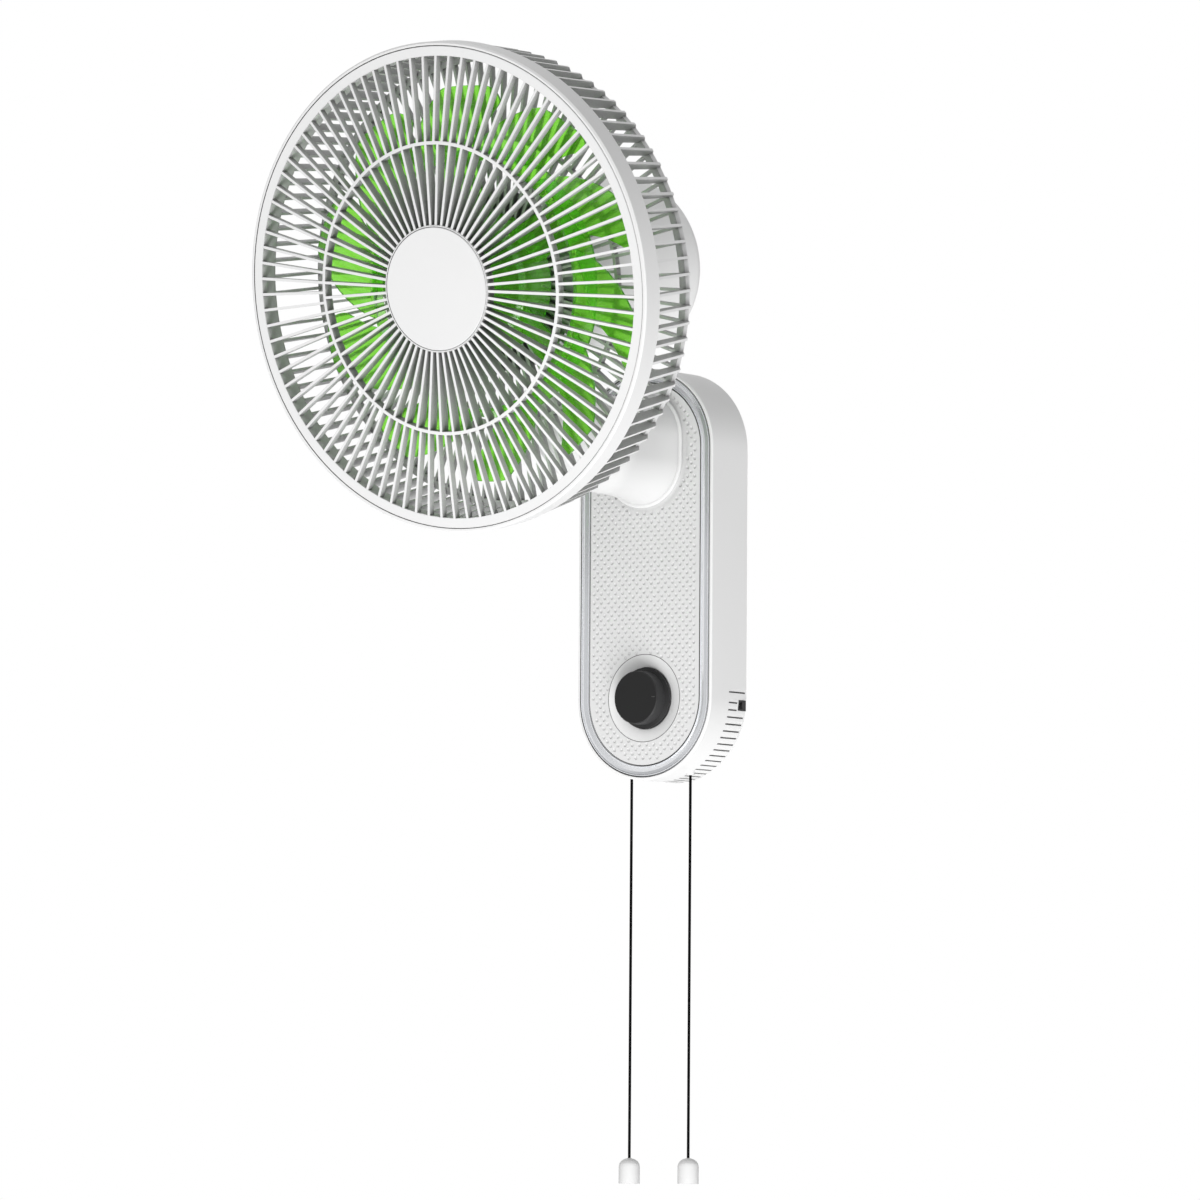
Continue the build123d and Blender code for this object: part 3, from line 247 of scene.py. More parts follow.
def finish(
    name, colour, rough, cloud=0.03, skin=0.02, skin_size=1400.0, metallic=0.0,
    shade=0.0, hidden=0.1, open_at=0.8, near=0.03,
):
    """A material with a clouded colour, a fine bump and, if it asks for it, painted shade.
    """
    material = bpy.data.materials.new(name)
    material.use_nodes = True
    graph = material.node_tree
    shader = shader_of(material)
    shader.inputs["Roughness"].default_value = rough
    shader.inputs["Metallic"].default_value = metallic
    shader.inputs[SHEEN].default_value = PLAIN_SHEEN
    place = add_node(graph, "TexCoord")
    colour = clouded(graph, place, colour, cloud)
    # Painted shade: the colour darkens where the point is hidden from near by.
    if shade > 0:
        colour = shaded(graph, colour, shade, hidden, open_at, near)
    graph.links.new(colour, shader.inputs["Base Color"])
    grain = add_node(graph, "TexNoise", {
        "Vector": place.outputs["Object"], "Scale": skin_size, "Detail": SKIN_DETAIL,
    })
    bump = add_node(graph, "Bump", {
        "Height": grain.outputs["Fac"], "Strength": skin, "Distance": SKIN_DEPTH,
    })
    graph.links.new(bump.outputs["Normal"], shader.inputs["Normal"])
    return material


# %% [markdown]
# The housing, guard and motor bell are white ABS with a satin gloss. One white would
# do for all of them in an even light. In the photograph the ribs of the guard darken
# towards their roots and the dimples of the panel fill with shade, so these pieces
# get their own whites with painted shade: the guard's is shaded over a few
# centimetres, the panel's over a short reach, and the bell's less deeply. The grips
# hang nearest to the lamp and are toned down.

# %% White plastics
WHITE_ROUGH = 0.40
WHITE_CLOUD = 0.008


def white(name, tone, rough=WHITE_ROUGH, **shading):
    """A white moulding of this tone; its shading goes on to the finish."""
    return finish(name, (tone, tone, tone), rough, cloud=WHITE_CLOUD, **shading)


white_plastic = white("white_plastic", 0.785)
# Painted shade: the panel, guard and bell whites darken where their pieces are hidden.
panel_shaded_white = white("panel_shaded_white", 0.705, shade=0.6, hidden=0.2, open_at=0.9, near=0.008)
guard_shaded_white = white("guard_shaded_white", 0.75, shade=0.85, hidden=0.25, open_at=0.95)
cover_shaded_white = white("cover_shaded_white", 0.80, shade=0.5)
grip_white = white("grip_white", 0.66, rough=0.45)
whites = (white_plastic, panel_shaded_white, guard_shaded_white, cover_shaded_white, grip_white)
print("whites", [material.name for material in whites])

# %% [markdown]
# The dial sits in a shallow dish. Its upper wall lies in the dial's shade, and its
# lower wall is paler than the panel round it. The lamp gives only a part of that, so
# light and shade are painted into the white itself: faces that look down are toned
# down, and faces that look up are toned up. The way a face looks is one component of
# its normal.

# %% Painted shade and light in the dish round the dial
DISH_LEAN = 0.3
DISH_PAINTED_SHADE, DISH_PAINTED_LIGHT = 0.90, 1.14


def facing(graph, axis, low, high, low_value=0.0, high_value=1.0):
    """How far a face looks along an axis, as a value that runs from low to high."""
    faces = add_node(graph, "NewGeometry")
    split = add_node(graph, "SeparateXYZ", {"Vector": faces.outputs["Normal"]})
    share = add_node(graph, "MapRange", {
        "Value": split.outputs[axis],
        "From Min": low,
        "From Max": high,
        "To Min": low_value,
        "To Max": high_value,
    })
    return share.outputs["Result"]


# Painted light and shade: the dish's white follows which way each face looks.
dish_shaded_white = white("dish_shaded_white", 0.84, shade=0.5, open_at=0.9)
graph = dish_shaded_white.node_tree
painted_lean = facing(graph, "Z", -DISH_LEAN, DISH_LEAN, DISH_PAINTED_SHADE, DISH_PAINTED_LIGHT)
base_colour = shader_of(dish_shaded_white).inputs["Base Color"]
graph.links.new(scaled(graph, base_colour.links[0].from_socket, painted_lean), base_colour)
print("dish", dish_shaded_white.name, "tones", DISH_PAINTED_SHADE, "to", DISH_PAINTED_LIGHT)

# %% [markdown]
# The dial is black and matt. A single black would merge its flat face with its
# skirt, while the photograph shows the skirt a little lighter, so the tone follows
# how far a face turns away from the front: a painted sheen that lightens the skirt.
# The dial only turns about that same axis, and the tones stay right at every setting.

# %% Dial, with a painted sheen on its skirt
BLACK = (0.012, 0.012, 0.0125)
FACE_BLACK = (0.008, 0.008, 0.0082)
SKIRT_SHEEN_BLACK = (0.030, 0.030, 0.031)
FRONT_ON, SIDE_ON = -0.95, -0.6
DIAL_SHEEN = 0.25

dial_black = finish("dial_black", BLACK, 0.5, skin=0.03)
graph = dial_black.node_tree
# Painted sheen: the black grows lighter as a face turns away from the front.
turned = facing(graph, "Y", FRONT_ON, SIDE_ON)
tones = add_ramp(graph, turned, (0.0, FACE_BLACK), (1.0, SKIRT_SHEEN_BLACK))
graph.links.new(tones, shader_of(dial_black).inputs["Base Color"])
shader_of(dial_black).inputs[SHEEN].default_value = DIAL_SHEEN
print("dial", dial_black.name)

# %% [markdown]
# The small fittings are plain black plastic. The blades are a clear green one. A
# green paint would look flat here, because light goes through the real blades: the
# colour glows where one stands in front of white and deepens where two overlap. Most
# of the shader is therefore transmission.

# %% Black and green plastics
CLEAR_SHARE = 0.76

black_plastic = finish("black_plastic", BLACK, 0.42, cloud=0.10, skin=0.05)
green_plastic = finish("green_plastic", (0.34, 0.99, 0.09), 0.10, cloud=0.02)
shader_of(green_plastic).inputs["Transmission Weight"].default_value = CLEAR_SHARE
print("plastics", black_plastic.name, green_plastic.name, CLEAR_SHARE, "clear")

# %% [markdown]
# Steel, castings, copper and board hardly show: the wall bracket does from behind,
# the tilt joint does above the neck, and the rest only when the shell is opened. They
# could have drawn textures, but plain metal finishes with the grain of zinc,
# laminations and castings are enough for pieces that are seen so seldom.

# %% Metals and the board
def metal(name, colour, rough, **surface):
    """A bare metal; its clouds and its skin go on to the finish."""
    return finish(name, colour, rough, metallic=1.0, **surface)


zinc_steel = metal(
    "zinc_steel", (0.62, 0.62, 0.60), 0.35, cloud=0.08, skin=0.1, skin_size=500
)
core_steel = metal(
    "core_steel", (0.34, 0.34, 0.35), 0.45, cloud=0.10, skin=0.2, skin_size=900
)
ground_steel = metal("ground_steel", (0.72, 0.72, 0.72), 0.18)
cast_alloy = metal(
    "cast_alloy", (0.60, 0.61, 0.62), 0.55, cloud=0.08, skin=0.3, skin_size=700
)
copper_wire = metal(
    "copper_wire", (0.70, 0.33, 0.16), 0.30, cloud=0.15, skin=0.4, skin_size=800
)
bush_bronze = metal("bush_bronze", (0.72, 0.58, 0.28), 0.40, cloud=0.08, skin=0.2)
board_green = finish("board_green", (0.03, 0.22, 0.07), 0.35, cloud=0.12, skin=0.05)
print("metals", zinc_steel.name, core_steel.name, ground_steel.name, cast_alloy.name)

# %% [markdown]
# The bead between the panel and the housing is silver paint. Along both its edges
# runs a darker line of painted shade, and between them lies a wide pale band of
# painted reflection. Loops of edges could carry these bands, but a colour that
# depends on how far a point lies from the middle line of the stadium needs no extra
# faces. Object coordinates give that distance, with the height clamped to the
# straight part.

# %% Painted bands of the silver trim
HALF_CENTRES = 0.094        # from the middle of the base to the centre of a round end
TRIM_IN = 0.0510
TRIM_OUT = 0.0597
TRIM_PAINTED_BANDS = (
    (0.0, 0.45), (0.10, 0.55), (0.14, 1.0), (0.80, 0.95), (0.87, 0.55), (1.0, 0.45),
)

silver_trim = finish("silver_trim", (0.60, 0.62, 0.65), 0.26, metallic=0.6)
graph = silver_trim.node_tree
place = add_node(graph, "TexCoord")
split = add_node(graph, "SeparateXYZ", {"Vector": place.outputs["Object"]})
height = split.outputs["Z"]
straight = add_node(graph, "Clamp", {
    "Value": height, "Min": -HALF_CENTRES, "Max": HALF_CENTRES,
})
beyond = add_node(graph, "Math", {0: height, 1: straight.outputs["Result"]}, "SUBTRACT")
flat = add_node(graph, "CombineXYZ", {
    "X": split.outputs["X"], "Z": beyond.outputs["Value"],
})
reach = add_node(graph, "VectorMath", {0: flat.outputs["Vector"]}, "LENGTH")
share = add_node(graph, "MapRange", {
    "Value": reach.outputs["Value"], "From Min": TRIM_IN, "From Max": TRIM_OUT,
})
# Painted shade along both edges and a painted reflection in the pale band between.
stops = [(position, (tone, tone, tone)) for position, tone in TRIM_PAINTED_BANDS]
bands = add_ramp(graph, share.outputs["Result"], *stops)
print("trim bands", len(stops))

# %% [markdown]
# The bead has two slopes, and the one that looks up and to the left is the paler on
# each side of the base. A second ramp paints that light and shade into the silver, by
# the angle between a face and that direction, and the bands are multiplied over it.

# %% Painted light on the slopes of the silver trim
PAINTED_LIGHT_SIDE = (-0.75, 0.0, 0.66)
SLOPE = 0.18
PAINTED_SHADE_SILVER = (0.54, 0.55, 0.57)
PALE_SILVER = (0.80, 0.81, 0.83)

# Painted light and shade: slopes that look up and to the left get the paler silver.
faces = add_node(graph, "NewGeometry")
painted_lean = add_node(graph, "VectorMath", {
    0: faces.outputs["Normal"], 1: PAINTED_LIGHT_SIDE,
}, "DOT_PRODUCT")
slope = add_node(graph, "MapRange", {
    "Value": painted_lean.outputs["Value"], "From Min": -SLOPE, "From Max": SLOPE,
})
tones = add_ramp(graph, slope.outputs["Result"], (0.0, PAINTED_SHADE_SILVER), (1.0, PALE_SILVER))
banded = add_node(graph, "VectorMath", {0: tones, 1: bands}, "MULTIPLY")
graph.links.new(banded.outputs["Vector"], shader_of(silver_trim).inputs["Base Color"])
print("trim nodes", len(graph.nodes))

# %% [markdown]
# A braid is two sets of threads that wind round the cord in opposite directions.
# They could be modelled as curves, but on a cord two millimetres thick the braid
# reads as a fine diagonal weave, which two crossed bands in a bump give well enough.

# %% Braid
BRAID_TURN = 0.7
BRAID_SCALE = 420.0
BRAID_STRENGTH = 0.5
BRAID_DEPTH = 0.0002
BRAID_SHEEN = 0.02

braid = finish("cord_braid", (0.004, 0.004, 0.0042), 0.9, cloud=0.15)
graph = braid.node_tree
place = add_node(graph, "TexCoord")
threads = []
for turn in (BRAID_TURN, -BRAID_TURN):
    aim = add_node(graph, "Mapping", {
        "Vector": place.outputs["Object"], "Rotation": (turn, turn, 0),
    })
    wave = add_node(graph, "TexWave", {
        "Vector": aim.outputs["Vector"], "Scale": BRAID_SCALE,
    })
    threads.append(wave.outputs["Fac"])
cross = add_node(graph, "Math", {0: threads[0], 1: threads[1]}, "MULTIPLY")
bump = add_node(graph, "Bump", {
    "Height": cross.outputs["Value"],
    "Strength": BRAID_STRENGTH,
    "Distance": BRAID_DEPTH,
})
graph.links.new(bump.outputs["Normal"], shader_of(braid).inputs["Normal"])
shader_of(braid).inputs[SHEEN].default_value = BRAID_SHEEN
for cord in cords:
    cord.data.materials.append(braid)
print("braided cords", len(cords))

# %% [markdown]
# Most pieces take the finish of their slot, the kind of material that the CAD model
# names for them. A few have one of their own, because the photograph shows them in
# another tone: most of these are whites with painted shade, the dial's black has a
# painted sheen, and the collars of the cords, for one, are black in the CAD and show
# no black there. Two short tables say that more plainly than a chain of questions.

# %% Which finish goes where
FINISH_OF = {
    "white_plastic": white_plastic,
    "green_plastic": green_plastic,
    "black_plastic": black_plastic,
    "silver_trim": silver_trim,
    "zinc_steel": zinc_steel,
    "core_steel": core_steel,
    "bearing_steel": ground_steel,
    "cast_alloy": cast_alloy,
    "copper_wire": copper_wire,
    "brass_bush": bush_bronze,
    "board_green": board_green,
    "cord_black": braid,
}
OWN_FINISH = {
    "front_panel": panel_shaded_white,
    "dial_dish": dish_shaded_white,
    "neck_elbow": panel_shaded_white,
    "front_guard": guard_shaded_white,
    "rear_guard": guard_shaded_white,
    "motor_cover": cover_shaded_white,
    "guard_nut": guard_shaded_white,
    "hub_cap": guard_shaded_white,
    "cord_bushing_left": white_plastic,
    "cord_bushing_right": white_plastic,
    "pull_grip_left": grip_white,
    "pull_grip_right": grip_white,
    "knob": dial_black,
}
slot_of = {row["node"]: row["material_slot"] for row in frame["record"]["subparts"]}
print("slots", len(set(slot_of.values())), "own finishes", len(OWN_FINISH))

# %% [markdown]
# A CAD piece arrives as loose triangles, so its curved faces look faceted. Welding
# the corners and smoothing everything except the sharp edges brings the round
# forms back. Both are modifiers, so the piece itself stays as the CAD made it.

# %% Dress the CAD pieces
WELD = 0.000002             # corners closer than this are one corner
SHARP_EDGE = math.radians(28.0)


def smooth_faces(piece):
    """Weld a piece's loose triangles and smooth it, except over its sharp edges."""
    weld = piece.modifiers.new("weld", "WELD")
    weld.merge_threshold = WELD
    split = piece.modifiers.new("split", "EDGE_SPLIT")
    split.split_angle = SHARP_EDGE
    piece.data.polygons.foreach_set("use_smooth", [True] * len(piece.data.polygons))


for name, piece in nodes.items():
    piece.data.materials.clear()
    piece.data.materials.append(OWN_FINISH.get(name, FINISH_OF[slot_of[name]]))
    smooth_faces(piece)
print("dressed", len(nodes))

# %% [markdown]
# The panel is covered with small moulded dimples. Light from below catches the upper
# lip of each one and leaves the lower lip dark. A bump map would fake that from
# straight ahead, but real hollows keep their shape from every side. One shallow
# cutter serves for all of them: a dome that points into the panel, closed by a flat
# disc just in front of it.

# %% One cutter for the dimples
PANEL_Y = -0.046
DIMPLE_RADIUS = 0.00150
DIMPLE_DEPTH = 0.00085
DIMPLE_LIFT = 0.00018       # the dome's middle stands this far in front of the panel
DOME_SEGMENTS = 12
DOME_RINGS = 10
DOME_CUT = 0.4              # the sphere is cut off at this share of its radius


def mesh_of(name, shape):
    """A mesh written from a bmesh, which is freed."""
    mesh = bpy.data.meshes.new(name)
    shape.to_mesh(mesh)
    shape.free()
    return mesh


def dimple_cutter():
    """A dome that points into the panel, closed by a flat disc in front of it."""
    dome = bmesh.new()
    bmesh.ops.create_uvsphere(
        dome, u_segments=DOME_SEGMENTS, v_segments=DOME_RINGS, radius=1.0
    )
    front = [v for v in dome.verts if v.co.z > DOME_CUT]
    bmesh.ops.delete(dome, geom=front, context="VERTS")
    bmesh.ops.holes_fill(dome, edges=dome.edges, sides=0)
    size = (DIMPLE_RADIUS, DIMPLE_RADIUS, DIMPLE_DEPTH)
    bmesh.ops.scale(dome, vec=size, verts=dome.verts)
    turn = Matrix.Rotation(math.radians(90), 4, "X")
    bmesh.ops.transform(dome, matrix=turn, verts=dome.verts)
    bmesh.ops.translate(dome, vec=(0, PANEL_Y - DIMPLE_LIFT, 0), verts=dome.verts)
    bmesh.ops.recalc_face_normals(dome, faces=dome.faces)
    return mesh_of("dimple", dome)


one_dimple = dimple_cutter()
print("cutter faces", len(one_dimple.polygons))

# %% [markdown]
# The dimples lie in a staggered grid, like the dark squares of a chessboard. They
# stop short of the silver bead, of the dial's dish and of the neck. Working out the
# places first, as plain numbers, shows how many there are before anything is cut.

# %% Places of the dimples
STEP_X = 0.003321
STEP_Z = 0.003305
FIRST_X = 0.002624
FIRST_Z = 0.04265
COLUMNS = range(-20, 20)
ROWS = range(-60, 60)
DIMPLE_FIELD = 0.0475       # half width of the stadium they fill
DISH_CLEAR = 0.0345
NECK_WIDE = 0.0395          # half widths of the oval that they leave to the neck
NECK_TALL = 0.0480


def dimple_places():
    """The x and z of every dimple."""
    places = []
    for i in COLUMNS:
        for j in ROWS:
            if (i + j) % 2:
                continue
            x = FIRST_X + STEP_X * i
            z = FIRST_Z + STEP_Z * j
            past = max(0.0, abs(z) - HALF_CENTRES)
            in_field = math.hypot(x, past) < DIMPLE_FIELD
            off_dish = math.hypot(x, z + HALF_CENTRES) > DISH_CLEAR
            off_neck = math.hypot(x / NECK_WIDE, (z - HALF_CENTRES) / NECK_TALL) > 1
            if in_field and off_dish and off_neck:
                places.append((x, z))
    return places


places = dimple_places()
print("dimples", len(places))

# %% [markdown]
# Cutting the dimples one by one would take as many booleans as there are dimples.
# The cutters don't touch each other, so all of them go into one mesh and are cut in
# one go. A boolean needs a closed solid, and the CAD panel is loose triangles, so it
# works on a welded copy, which stands for the CAD panel afterwards. The cut panel is
# written down as a plain mesh, and the cutters are thrown away.

# %% Cut the dimples
def dimple_field():
    """One object with a cutter in every place."""
    field = bmesh.new()
    for x, z in places:
        copy = one_dimple.copy()
        copy.transform(Matrix.Translation((x, 0, z)))
        field.from_mesh(copy)
        bpy.data.meshes.remove(copy)
    return add_object("dimple_cutters", mesh_of("dimple_cutters", field))


cutter = dimple_field()
welded = bmesh.new()
welded.from_mesh(nodes["front_panel"].data)
bmesh.ops.remove_doubles(welded, verts=welded.verts, dist=WELD)
panel = add_object("dimpled_panel", mesh_of("dimpled_panel", welded))
cut = panel.modifiers.new("dimples", "BOOLEAN")
cut.operation = "DIFFERENCE"
cut.solver = "EXACT"
cut.object = cutter
seen_now = bpy.context.evaluated_depsgraph_get()
skin = bpy.data.meshes.new_from_object(panel.evaluated_get(seen_now))
panel.modifiers.remove(cut)
panel.data = skin
bpy.data.objects.remove(cutter)
skin.materials.clear()
skin.materials.append(panel_shaded_white)
smooth_faces(panel)
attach(panel, "base")
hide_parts("front_panel")
triangles = sum(len(face.vertices) - 2 for face in skin.polygons)
print("panel faces", len(skin.polygons), "triangles", triangles)

# %% [markdown]
# The silver bead has a raised lip along each edge, whose bright side draws a thin
# white line, and a dark rail of painted shade lies between it and its neighbours,
# where the shadow of the seam falls, as one lies round the dial's dish. Such a rail
# could be a curve with a bevel. A small section that is spun round each end of the
# stadium and drawn straight between them gives cleaner faces, and a ring is the same
# with no straight part.

# %% A rail round a stadium
ARC_STEPS = 48


def rail_round(name, reach, front, thick, tall, end, middle, material, sides=0):
    """A rail about a stadium of this reach, whose round ends lie end from the middle.

    Its section is square, or round with this many sides.
    """
    rail = bmesh.new()
    if sides:
        made = bmesh.ops.create_circle(rail, cap_ends=False, segments=sides, radius=0.5)
    else:
        made = bmesh.ops.create_grid(rail, x_segments=1, y_segments=1, size=0.5)
    bmesh.ops.scale(rail, vec=(thick, tall, 1), verts=made["verts"])
    start = (reach, front + tall / 2, middle - end)
    bmesh.ops.translate(rail, vec=start, verts=made["verts"])
    section = list(rail.edges)
    bmesh.ops.delete(rail, geom=list(rail.faces), context="FACES_ONLY")
    for side in (-1, 1):
        around = (0, 0, middle + side * end)
        turned = bmesh.ops.spin(
            rail, geom=section, cent=around, axis=(0, 1, 0), angle=math.pi, steps=ARC_STEPS
        )
        section = [e for e in turned["geom_last"] if isinstance(e, bmesh.types.BMEdge)]
        if end > 0:
            drawn = bmesh.ops.extrude_edge_only(rail, edges=section)["geom"]
            corners = [v for v in drawn if isinstance(v, bmesh.types.BMVert)]
            bmesh.ops.translate(rail, vec=(0, 0, -2 * side * end), verts=corners)
            section = [e for e in drawn if isinstance(e, bmesh.types.BMEdge)]
            section = [e for e in section if all(v in corners for v in e.verts)]
    bmesh.ops.remove_doubles(rail, verts=rail.verts, dist=WELD)
    bmesh.ops.recalc_face_normals(rail, faces=rail.faces)
    shape = mesh_of(name, rail)
    shape.polygons.foreach_set("use_smooth", [sides > 0] * len(shape.polygons))
    shape.materials.append(material)
    piece = add_object(name, shape)
    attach(piece, "base")
    box = rounded((piece.bound_box[0], piece.bound_box[6]), 1000, 2)
    print(name, len(shape.polygons), "faces, mm", box)


# %% [markdown]
# The lips are a bright silver and stand a little proud of the panel. The joints are
# painted shade: nearly black rails that stand for the shadow in each seam and end
# within a fifth of a millimetre of the panel's face, because an open gap of a few
# tenths of a millimetre would be lost between two pixels.

# %% Lips, and painted shade in the joints
LIPS = (("trim_lip_inner", 0.0521), ("trim_lip_outer", 0.0585))
LIP_FRONT = -0.0464
LIP_THICK, LIP_TALL = 0.0004, 0.0012
SEAM_SHADES = (("trim_joint_inner", 0.0508), ("trim_joint_outer", 0.0598))
SEAM_SHADE_FRONT = -0.0458
SEAM_SHADE_THICK, SEAM_SHADE_TALL = 0.0004, 0.0010
DISH_REACH = 0.0331
DISH_FRONT = -0.0461
DISH_TALL = 0.0008

lip_silver = finish("lip_silver", PALE_SILVER, 0.3, metallic=0.3)
# Painted shade: nearly black rails stand for the shadow in the seams.
painted_seam_shade = finish("painted_seam_shade", (0.09, 0.09, 0.09), 0.8, cloud=0.1)
for name, reach in LIPS:
    rail_round(
        name, reach, LIP_FRONT, LIP_THICK, LIP_TALL,
        HALF_CENTRES, 0, lip_silver,
    )
for name, reach in SEAM_SHADES:
    rail_round(
        name, reach, SEAM_SHADE_FRONT, SEAM_SHADE_THICK, SEAM_SHADE_TALL,
        HALF_CENTRES, 0, painted_seam_shade,
    )
rail_round(
    "dish_seam_shade", DISH_REACH, DISH_FRONT, SEAM_SHADE_THICK, DISH_TALL,
    0, -HALF_CENTRES, painted_seam_shade,
)

# %% [markdown]
# Where the trumpet neck meets the panel, its foot ends in a soft rolled edge that
# catches the light from below. It could be moulded into the panel, but the same rail
# with a round section, half sunk in the neck, gives that edge with even faces.

# %% Rolled edge of the neck's foot
ROLL_REACH = 0.0340
ROLL_STRAIGHT = 0.008
ROLL_FRONT = -0.0511
ROLL_THICK, ROLL_TALL = 0.0046, 0.0026
ROLL_SIDES = 14

roll_white = white("roll_white", 0.74, rough=0.35)
rail_round(
    "neck_roll", ROLL_REACH, ROLL_FRONT, ROLL_THICK, ROLL_TALL,
    ROLL_STRAIGHT, HALF_CENTRES, roll_white, sides=ROLL_SIDES,
)

# %% [markdown]
# A short mark at the edge of the dial shows where it points. It could be a painted
# line. In the photograph it catches a little light, as a moulded ridge does, so it is
# a small bevelled bar. It turns with the dial, so it rides on the dial's body.

# %% Mark on the dial
DIAL_FACE = -0.057
MARK_SIZE = (0.0030, 0.0003, 0.0007)
MARK_BEVEL = 0.0001
MARK_LIFT = 0.0001
MARK_X = 0.0165

mark = bmesh.new()
made = bmesh.ops.create_cube(mark, size=1.0)["verts"]
bmesh.ops.scale(mark, vec=MARK_SIZE, verts=made)
bmesh.ops.bevel(
    mark, geom=mark.edges[:], offset=MARK_BEVEL, segments=1,
    affect="EDGES", profile=0.5, material=-1,
)
spot = (MARK_X, DIAL_FACE - MARK_LIFT, -HALF_CENTRES)
bmesh.ops.translate(mark, vec=spot, verts=mark.verts)
shape = mesh_of("dial_mark", mark)
mark_grey = finish("mark_grey", (0.05, 0.05, 0.05), 0.5, cloud=0.1)
shape.materials.append(mark_grey)
pointer = add_object("dial_mark", shape)
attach(pointer, "dial")
print("mark faces", len(shape.polygons))

# %% [markdown]
# Each vent at the foot is a louvre: a pale blade fills most of the mouth and leaves
# one thin slit along its lower edge. Left open, the mouths would be black holes,
# which the photograph doesn't show. The blades follow the round end, one in each
# mouth, so one box is placed and turned thirty-seven times. Beside a cord's collar
# and beside the gland of the mains lead the mouths are shorter.

# %% A row of louvres
HOUSING_REACH = 0.062
VENT_TURN = math.radians(5.11)
VENTS_A_SIDE = 17
VENT_HALF = 0.0020
VENT_LOW = -0.0012          # where the mouth's lower edge meets the outer face
VENT_GAP = 0.0011
VENT_RISE = 0.0046          # the topmost vent, above the round end's centre
VENT_BACK, VENT_FRONT = 0.0016, 0.0226
CORD_VENT, CORD_VENT_FRONT = 5, 0.0187
GLAND_VENTS, GLAND_VENT_BACK = (16, 17), 0.0113
LOUVRE_THICK = 0.0008
LOUVRE_SPARE = 0.0001       # room between a box and the back of its mouth


def vent_boxes():
    """The side, back, front, turn and lift of every mouth."""
    for side in (-1, 1):
        for k in range(VENTS_A_SIDE + 1):
            front = CORD_VENT_FRONT if k == CORD_VENT else VENT_FRONT
            back = GLAND_VENT_BACK if side > 0 and k in GLAND_VENTS else VENT_BACK
            if k > 0 or side > 0:
                yield side, back, front, k * VENT_TURN, 0
        yield side, VENT_BACK, VENT_FRONT, math.pi / 2, VENT_RISE


def louvre_row(name, near, far, sunk, spare, material):
    """One box in every mouth, from near to far across it and sunk below the outer face."""
    louvres = bmesh.new()
    for side, back, front, turn, lift in vent_boxes():
        back, front = back + LOUVRE_SPARE, front - spare
        made = bmesh.ops.create_cube(louvres, size=1.0)["verts"]
        bmesh.ops.scale(louvres, vec=(far - near, front - back, LOUVRE_THICK), verts=made)
        inward = -HOUSING_REACH + sunk + LOUVRE_THICK / 2
        spot = (side * (near + far) / 2, -(front + back) / 2, inward)
        bmesh.ops.translate(louvres, vec=spot, verts=made)
        lifted = Matrix.Translation((0, 0, lift - HALF_CENTRES))
        placed = lifted @ Matrix.Rotation(-side * turn, 4, "Y")
        bmesh.ops.transform(louvres, matrix=placed, verts=made)
    shape = mesh_of(name, louvres)
    shape.materials.append(material)
    vents = add_object(name, shape)
    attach(vents, "base")
    print(name, len(shape.polygons) // 6)


# %% [markdown]
# The blades have the white of the housing and lie nearly flush with it. The slits
# are painted shade: the same boxes again, narrow and dark, along the lower edge of
# each blade, where the shadow inside each slit shows.

# %% Louvre blades, and painted shade in their slits
BLADE_SUNK, BLADE_SPARE = 0.0003, 0.0005
SLIT_SUNK, SLIT_SPARE = 0.0002, 0.0001
BLADE_CLEAR = 0.00003       # room between a blade and the mouth's upper edge
SLIT_CLEAR = 0.0002         # and between a slit and the lower edge
SLIT_LAP = 0.0001           # a slit reaches this far over its blade

# Painted shade: dark boxes stand for the shadow inside the slits.
painted_slit_shade = finish("painted_slit_shade", (0.06, 0.06, 0.06), 0.8, cloud=0.1)
louvre_row(
    "vent_louvres", VENT_LOW + VENT_GAP, VENT_HALF - BLADE_CLEAR,
    BLADE_SUNK, BLADE_SPARE, white_plastic,
)
louvre_row(
    "vent_slit_shades", VENT_LOW + SLIT_CLEAR, VENT_LOW + VENT_GAP + SLIT_LAP,
    SLIT_SUNK, SLIT_SPARE, painted_slit_shade,
)

# %% [markdown]
# The studio is a white room. The background has to be pure white, but a room that
# lights the fan at full white would wash out its shape. So the world is white only
# where it is seen: by the camera, in reflections and through the clear blades. For
# soft light it is bright in front of the wall and dim behind it, because a real wall
# would keep that light away.

# %% World
WHITE = (1, 1, 1, 1)
SOFT_FRONT = 0.95
SOFT_BEHIND = 0.15

world = bpy.data.worlds.new("studio")
bpy.context.scene.world = world
world.use_nodes = True
graph = world.node_tree
graph.nodes.clear()
place = add_node(graph, "TexCoord")
split = add_node(graph, "SeparateXYZ", {"Vector": place.outputs["Generated"]})
strength = add_node(graph, "MapRange", {
    "Value": split.outputs["Y"],
    "From Min": -1.0,
    "From Max": 1.0,
    "To Min": SOFT_FRONT,
    "To Max": SOFT_BEHIND,
})
soft = add_node(graph, "Background", {
    "Color": WHITE, "Strength": strength.outputs["Result"],
})
plain = add_node(graph, "Background", {"Color": WHITE, "Strength": 1.0})
rays = add_node(graph, "LightPath")
seen = rays.outputs["Is Camera Ray"]
for kind in ("Is Glossy Ray", "Is Transmission Ray"):
    either = add_node(graph, "Math", {0: seen, 1: rays.outputs[kind]}, "MAXIMUM")
    seen = either.outputs["Value"]
choose = add_node(graph, "MixShader", {
    "Fac": seen, 1: soft.outputs["Background"], 2: plain.outputs["Background"],
})
add_node(graph, "OutputWorld", {"Surface": choose.outputs["Shader"]})
print("world", world.name, "soft light", SOFT_FRONT, "to", SOFT_BEHIND)

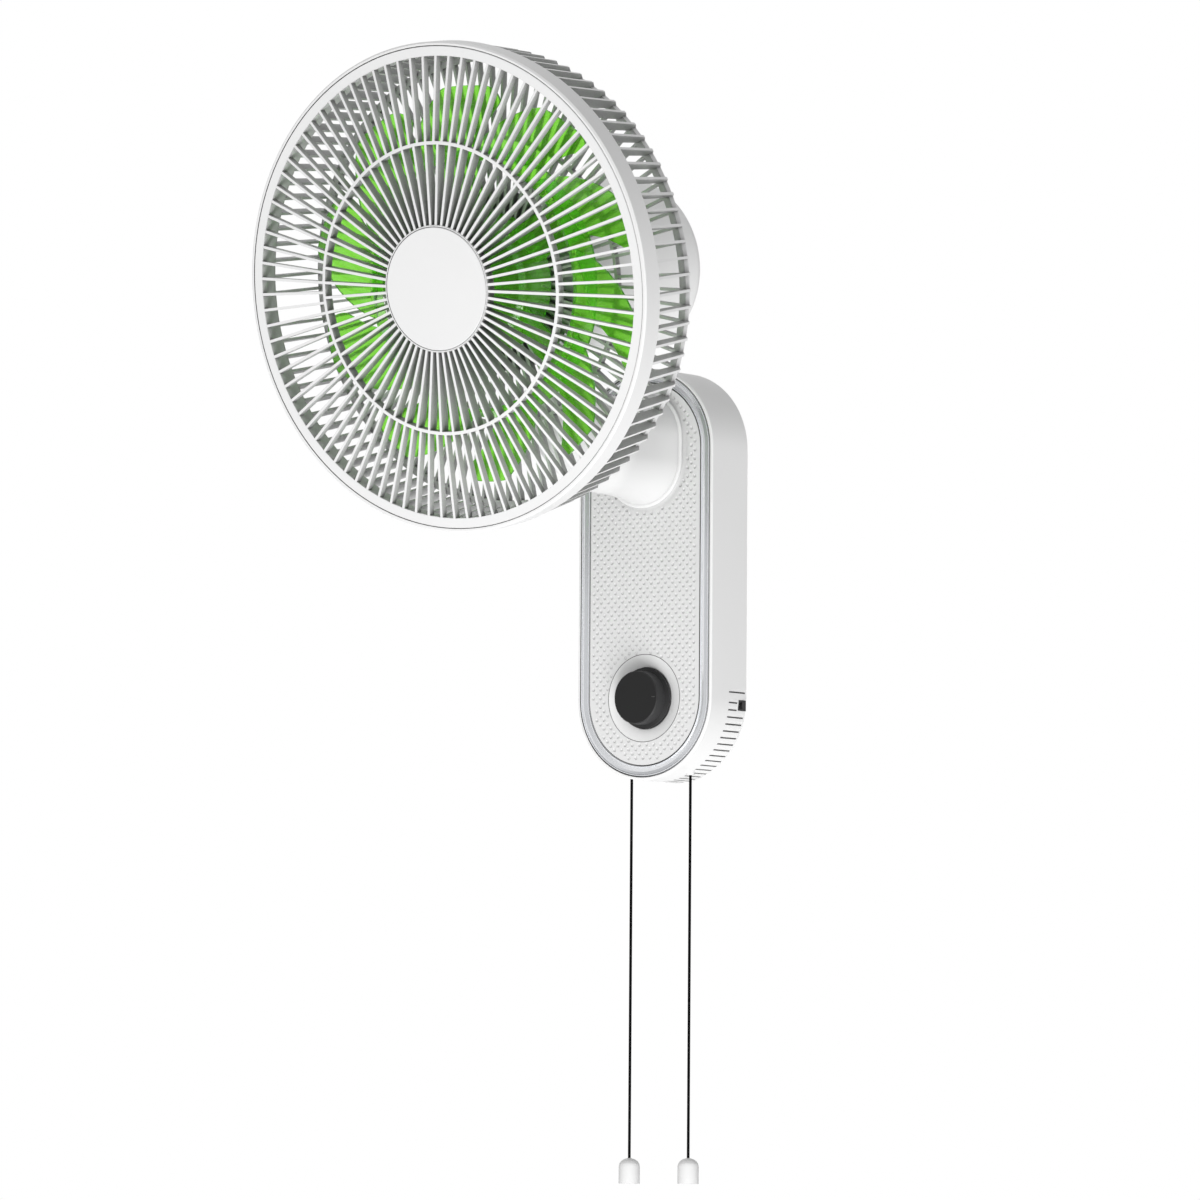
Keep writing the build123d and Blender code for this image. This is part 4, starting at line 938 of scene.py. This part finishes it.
# %% [markdown]
# One large soft lamp, low on the right and in front, stands for the light that a
# white floor and a panel beside the camera throw up. Several lamps could share that
# work, but one keeps the shadows simple. It makes the foot of the base the brightest
# face and leaves tops and left flanks grey, as in the photograph. The camera doesn't
# see it.

# %% Lamp
LAMP_SPOT = (1.04, -1.175, -1.785)
LAMP_AIM = (0, -0.2, 0.1)
LAMP_SIZE = 1.56
LAMP_WATTS = 52.4

lamp = bpy.data.lights.new("low_panel", "AREA")
lamp.shape = "SQUARE"
lamp.size = LAMP_SIZE
lamp.energy = LAMP_WATTS
holder = add_object("low_panel", lamp)
aim = Vector(LAMP_AIM) - Vector(LAMP_SPOT)
turn = aim.to_track_quat("-Z", "Y").to_matrix().to_4x4()
holder.matrix_world = Matrix.Translation(LAMP_SPOT) @ turn
holder.visible_camera = False
print("lamp", holder.name, LAMP_SIZE, "m", LAMP_WATTS, "W")

# %% [markdown]
# The fan hangs high on a wall, so the floor lies far below it and never shows in the
# main view. It is a plain pale sheet that still takes shadows. For the camera alone
# it is lifted a little, so that views from above have a pale ground.

# %% Floor
FLOOR_HALF = 4.0
FLOOR_SPOT = (0, -0.5, -3.20)
FLOOR_PALE = 0.35

ground = bmesh.new()
bmesh.ops.create_grid(ground, x_segments=1, y_segments=1, size=FLOOR_HALF)
bmesh.ops.translate(ground, vec=FLOOR_SPOT, verts=ground.verts)
sheet = mesh_of("floor", ground)
floor = add_object("floor", sheet)
pale_floor = finish("pale_floor", (0.86, 0.86, 0.86), 0.8, cloud=0.01)
graph = pale_floor.node_tree
shader = shader_of(pale_floor)
rays = add_node(graph, "LightPath")
lift = add_node(graph, "Math", {
    0: rays.outputs["Is Camera Ray"], 1: FLOOR_PALE,
}, "MULTIPLY")
shader.inputs["Emission Color"].default_value = WHITE
graph.links.new(lift.outputs["Value"], shader.inputs["Emission Strength"])
sheet.materials.append(pale_floor)
print("floor", 2 * FLOOR_HALF, "m wide at", FLOOR_SPOT)

# %% [markdown]
# The Standard view shows each colour about as it was written, which is what a part
# for a library needs. A filmic view would grey the whites.

# %% View settings
bpy.context.scene.view_settings.view_transform = "Standard"
print("view", bpy.context.scene.view_settings.view_transform)
